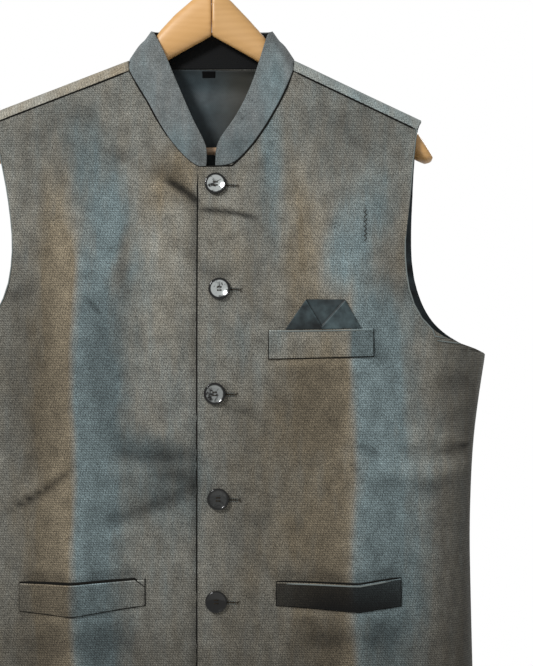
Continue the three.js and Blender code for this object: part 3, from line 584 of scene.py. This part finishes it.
def tube(bm, path, radius, sides=8):
    """Adds a round thread that follows the path, with its ends drawn to a point."""
    rings = []
    for i, point in enumerate(path):
        ahead = path[min(i + 1, len(path) - 1)] - path[max(i - 1, 0)]
        frame_turn = ahead.to_track_quat("Z", "Y").to_matrix()
        width = radius * MM * (0.35 if i in (0, len(path) - 1) else 1)
        rings.append([bm.verts.new(point + frame_turn @ Vector(
            (width * math.cos(2 * math.pi * k / sides), width * math.sin(2 * math.pi * k / sides), 0)))
            for k in range(sides)])
    for low, high in zip(rings, rings[1:]):
        for k in range(sides):
            bm.faces.new((low[k], low[(k + 1) % sides], high[(k + 1) % sides], high[k]))
    bm.faces.new(rings[0][::-1])
    bm.faces.new(rings[-1])


def between(a, b, count, bow=(0, 0, 0)):
    """Points from a to b, bowed out in the middle."""
    return [a.lerp(b, t) + Vector(bow) * MM * 4 * t * (1 - t) for t in (i / count for i in range(count + 1))]


def rim_points(node, test):
    """The outermost points of a CAD node's sharp rim where test holds, from the top down."""
    bm = bmesh.new()
    bm.from_mesh(frame["nodes"][node].data)
    bmesh.ops.remove_doubles(bm, verts=bm.verts, dist=MERGE)
    sharp = (e for e in bm.edges if len(e.link_faces) == 2 and e.calc_face_angle() > SHARP)
    rim = dict.fromkeys(v for e in sharp for v in e.verts)
    found = [v.co.copy() for v in rim if test(v.co.x / MM, v.co.y / MM, (v.co.z - LEVEL) / MM)]
    bm.free()
    found.sort(key=lambda p: -p.z)
    kept = []
    for point in found:
        if kept and (kept[-1] - point).length < 3.2 * MM:
            if point.y < kept[-1].y:
                kept[-1] = point
        else:
            kept.append(point)
    return kept


def outline(node):
    """The points round the foot of a flat CAD piece's rim, in order round its middle."""
    bm = bmesh.new()
    bm.from_mesh(frame["nodes"][node].data)
    bmesh.ops.remove_doubles(bm, verts=bm.verts, dist=MERGE)
    found = {}
    for edge in bm.edges:
        if len(edge.link_faces) == 2 and edge.calc_face_angle() > SHARP:
            for v in edge.verts:
                key = (round(v.co.x / MM), round(v.co.z / MM))
                if key not in found or v.co.y > found[key].y:
                    found[key] = v.co.copy()
    bm.free()
    low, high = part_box(node)
    middle, half = (low + high) / 2, (high - low) / 2

    def around(point):
        return math.atan2((point.z - middle.z) / half.z, (point.x - middle.x) / half.x)

    return sorted(found.values(), key=around)


# ------------------------------------------------------------------------ materials

def new_material(name):
    material = bpy.data.materials.new(name)
    material.use_nodes = True
    tree = material.node_tree
    tree.nodes.clear()
    return material, tree


def yarn_cells(tree, coords, scale, turn, detail=2.0, roughness=0.5):
    """Uneven patches, 1 / scale mm across along their own turned axes."""
    turned = add(tree, "Mapping", {"Vector": coords, "Rotation": (0, 0, math.radians(turn)), "Scale": scale})
    return add(tree, "TexNoise", {"Vector": turned, "Scale": 1.0, "Detail": detail, "Roughness": roughness})


def weave_height(tree, coords):
    """Short slanted floats, broken up by the slubs of the yarn. The rows are drawn about 3 mm
    apart, coarser than the real thread, so that they show."""
    floats = add(tree, "MapRange", {0: yarn_cells(tree, coords, (1.1, 0.4, 1), 40), 1: 0.32, 2: 0.68})
    ribs, slant = (
        add(tree, "TexWave", {"Vector": coords, "Scale": scale, "Distortion": 1.3, "Detail": 2,
                              "Detail Scale": finer}, "Fac", bands_direction=way)
        for way, scale, finer in (("Y", 0.142, 1.4), ("DIAGONAL", 0.24, 1.2)))
    rows = add(tree, "Math", {0: ribs, 1: slant}, operation="MULTIPLY")
    rows = add(tree, "Math", {0: rows, 1: 0.55}, operation="MULTIPLY")
    return add(tree, "Math", {0: floats, 1: 0.45, 2: rows}, operation="MULTIPLY_ADD")


def shell_cloth(name, warm, neutral, cool, depth, relief):
    """Shot polyester-viscose suiting, woven with a coarse slanted float: matt, with a soft nap. Its
    brown and blue bands are painted warm and cool light on the folds, and its colour carries painted
    shade and light, and near black painted shade on the faces turned into the garment."""
    material, tree = new_material(name)
    coords = add(tree, "UVMap", uv_map="weave")
    cool_in, shade_in, inside_shade_in = (
        add(tree, "Attribute", out="Fac", attribute_name=kept) for kept in ("cool", "shade", "inside_shade"))
    cloud = yarn_cells(tree, coords, (0.028, 0.016, 1), 0, 5, 0.62)
    streak = yarn_cells(tree, coords, (0.1, 0.014, 1), 8, 4, 0.6)
    drift = add(tree, "Math", {0: cloud, 1: streak}, operation="ADD")
    drift = add(tree, "Math", {0: drift, 1: 0.6, 2: -0.1}, operation="MULTIPLY_ADD")
    # painted warm and cool light, with the cloth's uneven tone: the cool attribute and a drifting noise pick
    # between the warm, neutral and cool colours
    tone = add(tree, "Math", {0: cool_in, 1: 0.5, 2: drift}, operation="MULTIPLY_ADD")
    tone_and_painted_light = add(tree, "ValToRGB", {"Fac": tone})
    stops = tone_and_painted_light.node.color_ramp.elements
    stops[0].color = linear(warm)
    stops[1].color = linear(cool)
    stops.new(0.5).color = linear(neutral)
    height = weave_height(tree, coords)
    fleck = yarn_cells(tree, coords, (0.5, 0.5, 1), 0, 3, 0.75)
    patch = yarn_cells(tree, coords, (0.03, 0.024, 1), 20, 3, 0.6)
    slub = add(tree, "MapRange", {0: yarn_cells(tree, coords, (0.42, 0.3, 1), 30), 1: 0.6, 2: 0.74})
    rubbed = add(tree, "MapRange", {0: patch, 1: 0.45, 2: 0.62})
    worn = add(tree, "Math", {0: slub, 1: rubbed}, operation="MULTIPLY")
    mottle = yarn_cells(tree, coords, (0.07, 0.055, 1), 35, 4, 0.6)
    # painted shade and light from the shade attribute, times the weave, flecks, wear and mottle below
    total = add(tree, "Math", {0: shade_in, 1: 1.0}, operation="ADD")
    for value, share, base in ((height, relief, 1.08 - 0.45 * relief), (fleck, 1.5, 0.25),
                               (worn, -0.62, 1.0), (mottle, 1.3, 0.37)):
        part = add(tree, "Math", {0: value, 1: share, 2: base}, operation="MULTIPLY_ADD")
        total = add(tree, "Math", {0: total, 1: part}, operation="MULTIPLY")
    outside = add(tree, "Mix", {0: 1.0, 6: tone_and_painted_light, 7: total}, 2, blend_type="MULTIPLY", **COLOUR)
    # painted shade: the faces turned into the garment are drawn near black
    colour = add(tree, "Mix", {0: inside_shade_in, 6: outside, 7: linear("0A0B0C")}, 2, **COLOUR)
    rise = add(tree, "Math", {0: fleck, 1: 0.6, 2: height}, operation="MULTIPLY_ADD")
    bump = add(tree, "Bump", {"Height": rise, "Strength": 0.7, "Distance": depth * MM})
    cloth = add(tree, "BsdfPrincipled", {
        "Base Color": colour, "Normal": bump, "Roughness": 0.85, "IOR": 1.4,
        "Specular IOR Level": 0.25, "Sheen Weight": 0.08, "Sheen Roughness": 0.5})
    add(tree, "OutputMaterial", {"Surface": cloth})
    return material


def satin(name, base, glow, warm, pucker):
    """Woven polyester satin: smooth floats that shine along the thread, with fine ribs."""
    material, tree = new_material(name)
    coords = add(tree, "TexCoord", out="Object")
    soft = add(tree, "TexNoise", {"Vector": coords, "Scale": 90, "Detail": 4})
    warm_in, shade_in = (
        add(tree, "Attribute", out="Fac", attribute_name=kept) for kept in ("warm", "shade"))
    cloudy = add(tree, "MapRange", {0: soft, 1: 0.3, 2: 0.7})
    even = add(tree, "Mix", {0: cloudy, 6: linear(base), 7: linear(glow)}, 2, **COLOUR)
    turned = add(tree, "Mix", {0: warm_in, 6: even, 7: linear(warm)}, 2, **COLOUR)
    light = add(tree, "Math", {0: shade_in, 1: 1.0}, operation="ADD")
    colour = add(tree, "Mix", {0: 1.0, 6: turned, 7: light}, 2, blend_type="MULTIPLY", **COLOUR)
    ribs = add(tree, "TexWave", {"Vector": coords, "Scale": 300, "Distortion": 0.6}, "Fac",
               bands_direction="DIAGONAL")
    rise = add(tree, "Math", {0: ribs, 1: 0.15, 2: soft}, operation="MULTIPLY_ADD")
    bump = add(tree, "Bump", {"Height": rise, "Strength": 0.5, "Distance": pucker * MM})
    cloth = add(tree, "BsdfPrincipled", {
        "Base Color": colour, "Normal": bump, "Roughness": 0.45, "IOR": 1.5,
        "Specular IOR Level": 0.3, "Anisotropic": 0.4, "Sheen Weight": 0.04})
    add(tree, "OutputMaterial", {"Surface": cloth})
    return material


def plain(name, colour, roughness, metallic=0.0, bump_scale=0.0, bump_depth=0.0):
    """A nearly even finish with a slight variation of tone and a fine grain."""
    material, tree = new_material(name)
    coords = add(tree, "TexCoord", out="Object")
    grain = add(tree, "TexNoise", {"Vector": coords, "Scale": max(bump_scale, 40), "Detail": 4})
    tone = add(tree, "Math", {0: grain, 1: 0.3, 2: 0.85}, operation="MULTIPLY_ADD")
    base = add(tree, "Mix", {0: 1.0, 6: linear(colour), 7: tone}, 2, blend_type="MULTIPLY", **COLOUR)
    bump = add(tree, "Bump", {"Height": grain, "Strength": 0.3, "Distance": bump_depth * MM})
    body = add(tree, "BsdfPrincipled", {
        "Base Color": base, "Normal": bump, "Roughness": roughness, "Metallic": metallic,
        "Specular IOR Level": 0.12 if roughness > 0.6 else 0.5})
    add(tree, "OutputMaterial", {"Surface": body})
    return material


def polished_resin(name):
    """Dark cast resin under a hard polish, with a painted reflection in the dish: a pale mirror layer, as
    strong as the button's gleam and broken up in streaks.
    """
    material, tree = new_material(name)
    coords = add(tree, "TexCoord", out="Object")
    gleam_in = add(tree, "Attribute", out="Fac", attribute_name="gleam")
    swirl = add(tree, "TexNoise", {"Vector": coords, "Scale": 160, "Detail": 3, "Distortion": 1.2})
    whole = add(tree, "MapRange", {0: swirl, 1: 0.34, 2: 0.5})
    # painted reflection: the dish becomes a pale mirror as far as the gleam attribute and the streaks reach
    painted_reflection = add(tree, "Math", {0: gleam_in, 1: whole}, operation="MULTIPLY")
    colour = add(tree, "Mix", {0: painted_reflection, 6: linear("0C0C0B"), 7: linear("E2E8E6")}, 2, **COLOUR)
    bump = add(tree, "Bump", {"Height": swirl, "Strength": 0.4, "Distance": 0.25 * MM})
    resin = add(tree, "BsdfPrincipled", {
        "Base Color": colour, "Normal": bump, "Metallic": painted_reflection, "Roughness": 0.14, "IOR": 1.5,
        "Specular IOR Level": 0.4, "Coat Weight": 0.2, "Coat Roughness": 0.04})
    add(tree, "OutputMaterial", {"Surface": resin})
    return material


def lacquered_wood(name, pale, dark, tilt):
    """Lacquered beech or lotus wood, sawn along the arm: long fine grain under a satin film."""
    material, tree = new_material(name)
    coords = add(tree, "TexCoord", out="Object")
    turn = add(tree, "Mapping", {"Vector": coords, "Rotation": (0, tilt, 0), "Scale": (6, 60, 60)})
    grain = add(tree, "TexNoise", {"Vector": turn, "Scale": 3.2, "Detail": 6, "Roughness": 0.6,
                                   "Distortion": 0.4})
    rings = add(tree, "TexWave", {"Vector": turn, "Scale": 0.9, "Distortion": 5, "Detail": 3}, "Fac",
                bands_direction="Z")
    rings = add(tree, "Math", {0: rings, 1: 0.25}, operation="MULTIPLY")
    figure = add(tree, "Math", {0: grain, 1: 0.75, 2: rings}, operation="MULTIPLY_ADD", use_clamp=True)
    colour = add(tree, "Mix", {0: figure, 6: linear(dark), 7: linear(pale)}, 2, **COLOUR)
    bump = add(tree, "Bump", {"Height": grain, "Strength": 0.2, "Distance": 0.3 * MM})
    wood = add(tree, "BsdfPrincipled", {
        "Base Color": colour, "Normal": bump, "Roughness": 0.42, "IOR": 1.5, "Coat Weight": 0.25,
        "Coat Roughness": 0.3})
    add(tree, "OutputMaterial", {"Surface": wood})
    return material


def material_named(name, maker, *args):
    """A material that is made once and then shared."""
    return bpy.data.materials.get(name) or maker(name, *args)


def body_cloth():
    return material_named("shot suiting", shell_cloth, "6D6454", "717069", "657274", 0.7, 1.8)


def collar_cloth():
    return material_named("collar suiting", shell_cloth, "6A6862", "656A6A", "5F6D70", 0.5, 1.0)


# ------------------------------------------------------------------------- operators

class JacketSettings(bpy.types.PropertyGroup):
    crease_amount: FloatProperty(
        name="Crease amount", description="How deep the creases are, against their own sizes",
        default=1.0, min=0.0, max=2.0)
    key_power: FloatProperty(
        name="Key light", description="Power of the large soft light", default=38.0, unit="POWER")


class JACKET_OT_fronts(bpy.types.Operator):
    """Forms the two fronts in shot suiting with painted light"""
    bl_idname = "jacket.fronts"
    bl_label = "Fronts"

    def execute(self, context):
        for node, width in (("front_left", 0.300), ("front_right", 0.312)):
            obj = cloth_from(node, node + "_cloth", 3, 0.55)
            relax(obj.data, FRONT_CREASES, -1, context.scene.jacket.crease_amount)
            paint(obj.data, FRONT_TINTS, TINT_EDGES, FRONT_CREASES, FRONT_SHADOWS)
            dressed(obj, body_cloth(), "shell_cloth", node)
        return {"FINISHED"}


class JACKET_OT_back(bpy.types.Operator):
    """Forms the back, the lining inside it and the label"""
    bl_idname = "jacket.back"
    bl_label = "Back and lining"

    def execute(self, context):
        amount = context.scene.jacket.crease_amount
        back = cloth_from("back", "back_cloth", 2, 0.55)
        relax(back.data, BACK_CREASES, 1, amount)
        paint(back.data, BACK_TINTS, (), BACK_CREASES, side=1)

        def in_front(x, y, z, n):
            return smooth(-y / 6) * (np.abs(x) > NECK_HALF - 8)

        # painted light: the top of the shoulders, where the back turns over to the front, is lightened,
        # warmer at negative x and cooler at positive x
        change_shade(back.data, 0.75, in_front)
        change_shade(back.data, 0.5, lambda x, y, z, n: in_front(x, y, z, n) * np.sign(x), "cool")
        dressed(back, body_cloth(), "shell_cloth", "back")
        lining = cloth_from("back_lining", "lining_cloth", 2, 0.9)
        relax(lining.data, BACK_CREASES, 1, amount)
        relax(lining.data, LINING_PUCKERS, 1, amount)
        x, y, z = points_of(lining.data).T
        store(lining.data, "warm", np.exp(-((x - 34) / 26) ** 2) * 0.9)
        store(lining.data, "shade", 0.35 * np.exp(-((x + 6) / 30) ** 2 - ((z + 30) / 40) ** 2)
              - 0.5 * np.exp(-((z - 2) / 9) ** 2) + 1.1 * crease_lift(x, z, LINING_PUCKERS))
        lining_satin = material_named("lining satin", satin, "242D31", "323D41", "302F28", 0.5)
        dressed(lining, lining_satin, "lining_satin", "back_lining")
        label = cloth_from("neck_label", "label_tab", 2, 1.0)
        dressed(label, material_named("woven label tape", plain, "040405", 0.85, 0.0, 900, 0.2),
                "label_weave", "neck_label")
        return {"FINISHED"}


class JACKET_OT_collar(bpy.types.Operator):
    """Forms the stand collar"""
    bl_idname = "jacket.collar"
    bl_label = "Collar"

    def execute(self, context):
        collar = cloth_from("collar", "collar_band", 3, 0.7)
        points = points_of(collar.data)
        x, y, z = points.T
        sunk = FOOT_TUCK * smooth((y + 12) / 10) * (1 - smooth((z - 8) / 16))
        points[:, 2] -= sunk
        set_points(collar.data, points)
        paint(collar.data, COLLAR_TINTS, over_ridge=False)
        dressed(collar, collar_cloth(), "collar_cloth", "collar")
        return {"FINISHED"}


class JACKET_OT_pockets(bpy.types.Operator):
    """Forms the three welts and the pocket square"""
    bl_idname = "jacket.pockets"
    bl_label = "Pockets"

    def execute(self, context):
        for node, width, height, shade, _ in WELTS:
            welt = cloth_from(node, node + "_cloth", 3, 0.6)
            relax(welt.data, FRONT_CREASES, -1, context.scene.jacket.crease_amount)
            paint(welt.data, FRONT_TINTS, TINT_EDGES)
            change_shade(welt.data, shade, everywhere)
            # painted light: faces turned upward, along each welt's top edge, are lightened
            change_shade(welt.data, 1.1, lambda x, y, z, n: smooth((n[:, 2] - 0.05) / 0.4))
            if node == "chest_welt":
                change_shade(welt.data, 0.12, everywhere)
                change_shade(welt.data, 0.5, everywhere, "cool")
                change_shade(welt.data, -0.45, lambda x, y, z, n: smooth((x - 136) / 6))
            dressed(welt, body_cloth(), "shell_cloth", node)
        square = cloth_from("pocket_square", "pocket_square_cloth", 4, 0.8)
        points = points_of(square.data)
        x, y, z = points.T
        apex_x, apex_z = SQUARE_APEX
        left = (x - SQUARE_LEFT) / (apex_x - SQUARE_LEFT)
        right = (SQUARE_RIGHT - x) / (SQUARE_RIGHT - apex_x)
        fold = SQUARE_TOP + (apex_z - SQUARE_TOP) * np.where(x < apex_x, left, right)
        over = smooth((fold - z) / 0.9)
        near = np.exp(-np.maximum(0, fold - z) / 7)
        points[:, 1] -= over * (0.7 + 0.9 * near)
        set_points(square.data, points)
        line = np.exp(-((fold - z - 0.9) / 0.8) ** 2)
        low = smooth((SQUARE_TOP - 14 - z) / 20)
        is_left = x < apex_x
        store(square.data, "shade", np.where(is_left, 1.3, 0.5) * line * over - 0.8 * over * low * is_left
              - 0.6 * np.exp(-((z - fold) / 2.2) ** 2) * (1 - over) - 0.4 * (1 - over) * smooth((z + 246) / 5)
              + 0.35 * over * ~is_left)
        square_satin = material_named("square satin", satin, "12191B", "3B484B", "252E32", 0.5)
        dressed(square, square_satin, "square_satin", "pocket_square")
        return {"FINISHED"}


class JACKET_OT_seams(bpy.types.Operator):
    """Sews the seams, buttonholes, turned edges and pulled threads"""
    bl_idname = "jacket.seams"
    bl_label = "Seams and stitches"

    def execute(self, context):
        cloths = [bpy.data.objects[name] for name in ("front_left_cloth", "front_right_cloth")]
        bpy.context.view_layer.update()
        # seam: dark cords that are partly seam and partly painted shadow, in the seam grooves, along the
        # lapped front edge and round and above the welts
        seam = bmesh.new()
        pale = bmesh.new()
        worn = bmesh.new()
        for side in (-1, 1):
            node = "front_left" if side > 0 else "front_right"
            neck = rim_points(node, lambda x, y, z: (-14 if side > 0 else 32) < side * x < 84 and z > -106)
            shoulder = rim_points(node, lambda x, y, z: side * x > 74 and z > -62 - SEAM_TAIL
                                  and side * x < SEAM_END and z > -14 - 0.48 * (side * x - 76) - SEAM_TAIL)
            shoulder.sort(key=lambda p: side * p.x)
            for path in (neck, shoulder):
                if len(path) > 2:
                    tube(seam, [p + Vector((0, -0.1 * MM, 0.1 * MM)) for p in path], SEAM_THREAD)
            hole = rim_points(node, lambda x, y, z: side * x > 194 and -285 < z < -64)
            tube(pale, [p - Vector((side * 0.3 * MM, 0.4 * MM, 0)) for p in hole], EDGE_THREAD)
        edge = [on_cloth(cloths[1:], LAP_EDGE - 0.6, z, 0.1) for z in np.arange(-112, -706, -12)]
        tube(seam, edge, LAP_THREAD)
        for node, _, _, _, top in WELTS:
            welt = bpy.data.objects[node + "_cloth"]
            loop = outline(node)
            middle = sum(loop, Vector()) / len(loop)
            path = [on_cloth(cloths, p.x / MM + math.copysign(0.3, p.x - middle.x),
                             (p.z - LEVEL) / MM + math.copysign(0.4, p.z - middle.z), 0.25) for p in loop]
            upper = [p for p in path if p.z > middle.z + 0.5 * (max(q.z for q in path) - middle.z)]
            upper.sort(key=lambda p: p.x)
            lower = sorted([p for p in path if p.z <= middle.z], key=lambda p: p.x)
            tube(seam, [upper[0]] + lower + [upper[-1]], WELT_THREAD)
            if top:
                tube(seam, [p + Vector((0, -0.4 * top, 0.5 * top)) * MM for p in upper], top)
            if node == "welt_right":
                continue
            lip = [hit(welt, p.x / MM, (p.z - LEVEL) / MM - 1.6) for p in upper]
            tube(pale, [p for p in lip if p], WELT_THREAD)
        zigzag = [on_cloth(cloths, 156.5 + (1.3 if i % 2 else -1.3), -146 - 2.4 * i, 0.1) for i in range(16)]
        tube(worn, zigzag, 0.42, 6)
        for k, (x, z) in enumerate(BUTTONHOLES):
            ends = [on_cloth(cloths, x + dx, z + dz, 0.15) for dx, dz in ((8, 0), (HOLE_REACH, -0.6))]
            tube(worn, between(ends[0], ends[1], 6), 0.5)
            for row in (-1, 1):
                ridge = between(ends[0] + Vector((0, 0, row * 1.3 * MM)),
                                ends[1] + Vector((0, 0, row * 1.1 * MM)), 16, (0, 0, row * 0.2))
                for i, point in enumerate(ridge[1:-1]):
                    lean = Vector((0.25 * MM, 0, row * 0.7 * MM))
                    tube(pale if (i + k) % 3 else worn, [point - lean, point - Vector((0, 0.3 * MM, 0)),
                                                         point + lean], FINE_THREAD, 6)
            for i in range(3):
                reach = 3.5 + 2.0 * noise.noise((k * 3.1, i * 1.7, 0.4))
                tip = ends[1] + Vector((reach, -0.5, (i - 1) * 1.6 + noise.noise((k, i, 2.2)))) * MM
                tube(worn, between(ends[1], tip, 4, (0, -0.3, 0.8 * (i - 1))), 0.26, 6)
        for name, sewn, finish, colour, roughness in (
                ("seam_shadow_thread", seam, "dark seam thread", "12110F", 0.9),
                ("turned_edge_thread", pale, "pale edge thread", "6F7674", 0.8),
                ("worn_thread", worn, "brown worn thread", "2B241B", 0.8)):
            finished(name, sewn, material_named(finish, plain, colour, roughness), "shell_cloth")
        return {"FINISHED"}


class JACKET_OT_buttons(bpy.types.Operator):
    """Turns the five four-hole buttons"""
    bl_idname = "jacket.buttons"
    bl_label = "Buttons"

    def execute(self, context):
        resin = material_named("polished resin", polished_resin)
        thread = material_named("button thread", plain, "2B261F", 0.8)
        for number in range(1, 6):
            node = f"button_{number}"
            low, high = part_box(node)
            centre = (low + high) / 2
            facets = frame["nodes"][node].data.polygons
            normals = [f.normal for f in facets if f.normal.y < -0.85 and f.area > 2e-6]
            face = sum(normals, Vector()).normalized()
            turn = face.to_track_quat("Z", "Y").to_matrix().to_4x4()
            place = Matrix.Translation(centre) @ turn
            bm = bmesh.new()
            start = [bm.verts.new((r * MM, 0, h * MM)) for r, h in BUTTON_PROFILE]
            edges = [bm.edges.new(pair) for pair in zip(start, start[1:])]
            bmesh.ops.spin(bm, geom=start + edges, cent=(0, 0, 0), axis=(0, 0, 1), angle=2 * math.pi,
                           steps=72, use_merge=True)
            bmesh.ops.remove_doubles(bm, verts=bm.verts, dist=0.01 * MM)
            bmesh.ops.recalc_face_normals(bm, faces=bm.faces)
            bmesh.ops.transform(bm, matrix=place, verts=bm.verts)
            turned = finished(node + "_turned", bm, resin, "button_resin", node)
            away = np.array([((v.co - centre) - (v.co - centre).dot(face) * face).length
                             for v in turned.data.vertices]) / MM
            ahead = np.array([(v.co - centre).dot(face) for v in turned.data.vertices])
            store(turned.data, "gleam", BUTTON_GLEAM[number - 1] * (away < 8.7) * (ahead > -MM))
            sewn = bmesh.new()
            corners = [Vector((a, b, 0)) * BUTTON_PIT for a, b in ((-1, -1), (1, -1), (1, 1), (-1, 1))]
            for corner in corners:
                pit = place @ Matrix.Translation((corner + Vector((0, 0, BUTTON_DISH))) * MM)
                bmesh.ops.create_cone(sewn, cap_ends=True, segments=20, radius1=0.85 * MM,
                                      radius2=0.85 * MM, depth=0.5 * MM, matrix=pit)
            for a, b in ((0, 1), (3, 2)):
                for shift in (-0.25, 0.25):
                    offset = Vector((0, shift, BUTTON_DISH + 0.2))
                    ends = [place @ ((corners[k] + offset) * MM) for k in (a, b)]
                    tube(sewn, between(ends[0], ends[1], 6, face * 0.35), FINE_THREAD, 6)
            finished(node + "_thread", sewn, thread, "button_resin")
        return {"FINISHED"}


class JACKET_OT_hanger(bpy.types.Operator):
    """Finishes the hanger's wood and hook"""
    bl_idname = "jacket.hanger"
    bl_label = "Hanger"

    def execute(self, context):
        steel = material_named("plated steel wire", plain, "C8C9CA", 0.22, 1.0, 300, 0.02)
        for side, tilt, pale, dark in (("left", 0.5, "C69B63", "B38953"),
                                       ("right", -0.5, "CFA168", "BF9156")):
            wood = material_named("lacquered wood " + side, lacquered_wood, pale, dark, tilt)
            arm = new_object("arm_" + side, frame["nodes"]["hanger_arm_" + side].data.copy())
            remesh = arm.modifiers.new("even", "REMESH")
            remesh.mode = "VOXEL"
            remesh.voxel_size = 1.4 * MM
            soften = arm.modifiers.new("soften", "SMOOTH")
            soften.iterations = 8
            baked(arm)
            dressed(arm, wood, "hanger_wood", "hanger_arm_" + side)
        bar = cloth_from("hanger_bar", "rail", 2, 1.0)
        rail_wood = material_named("lacquered wood bar", lacquered_wood, "C4A483", "AE8C6A", 0.0)
        dressed(bar, rail_wood, "hanger_wood", "hanger_bar")
        hook = cloth_from("hanger_hook", "hook_wire", 2, 0.6)
        dressed(hook, steel, "hook_steel", "hanger_hook")
        return {"FINISHED"}


class JACKET_OT_stage(bpy.types.Operator):
    """Sets the floor, the soft light and the camera"""
    bl_idname = "jacket.stage"
    bl_label = "Stage"

    def execute(self, context):
        scene = context.scene
        world = bpy.data.worlds.new("white studio")
        scene.world = world
        world.use_nodes = True
        sky = world.node_tree
        seen = add(sky, "LightPath", out="Is Camera Ray")
        strength = add(sky, "Math", {0: seen, 1: 1 - FILL, 2: FILL}, operation="MULTIPLY_ADD")
        sky.nodes["Background"].inputs[0].default_value = (1, 1, 1, 1)
        sky.links.new(strength, sky.nodes["Background"].inputs[1])
        scene.view_settings.view_transform = "Standard"
        bm = bmesh.new()
        bmesh.ops.create_grid(bm, x_segments=1, y_segments=1, size=FLOOR_HALF)
        floor_mesh = bpy.data.meshes.new("floor")
        bmesh.ops.translate(bm, verts=bm.verts, vec=(0, 0, CAD_LOW.z - FLOOR_DROP))
        bm.to_mesh(floor_mesh)
        bm.free()
        floor = new_object("floor", floor_mesh)
        floor.data.materials.append(material_named("pale studio floor", plain, "E9E9E7", 0.8, 0.0, 60, 0.1))
        for name, size, share, place in LAMPS:
            data = bpy.data.lights.new(name, "AREA")
            data.shape = "DISK"
            data.size = size
            data.energy = share * scene.jacket.key_power
            lamp = bpy.data.objects.new(name, data)
            scene.collection.objects.link(lamp)
            lamp.location = place
            lamp.rotation_euler = (LAMPS_AIM - lamp.location).to_track_quat("-Z", "Y").to_euler()
        lens = bpy.data.cameras.new("camera")
        lens.lens = LENS
        lens.sensor_width = FILM_WIDTH
        camera = bpy.data.objects.new("camera", lens)
        scene.collection.objects.link(camera)
        camera.location = (VIEW_X, FRONT_FACE - VIEW_AWAY, LEVEL - VIEW_DROP)
        camera.rotation_euler = (math.radians(90), 0, 0)
        scene.camera = camera
        return {"FINISHED"}


class JACKET_PT_panel(bpy.types.Panel):
    """Lists the jacket's pieces and settings"""
    bl_label = "Nehru jacket"
    bl_space_type = "VIEW_3D"
    bl_region_type = "UI"
    bl_category = "Jacket"

    def draw(self, context):
        for name in JacketSettings.__annotations__:
            self.layout.prop(context.scene.jacket, name)
        for operator in OPERATORS:
            self.layout.operator(operator.bl_idname)


OPERATORS = (
    JACKET_OT_stage,
    JACKET_OT_fronts,
    JACKET_OT_back,
    JACKET_OT_collar,
    JACKET_OT_pockets,
    JACKET_OT_seams,
    JACKET_OT_buttons,
    JACKET_OT_hanger,
)
CLASSES = (JacketSettings,) + OPERATORS + (JACKET_PT_panel,)


def register():
    for cls in CLASSES:
        bpy.utils.register_class(cls)
    bpy.types.Scene.jacket = PointerProperty(type=JacketSettings)


def unregister():
    del bpy.types.Scene.jacket
    for cls in reversed(CLASSES):
        bpy.utils.unregister_class(cls)


def main():
    register()
    for operator in OPERATORS:
        group, name = operator.bl_idname.split(".")
        getattr(getattr(bpy.ops, group), name)()


if __name__ == "__main__":
    main()
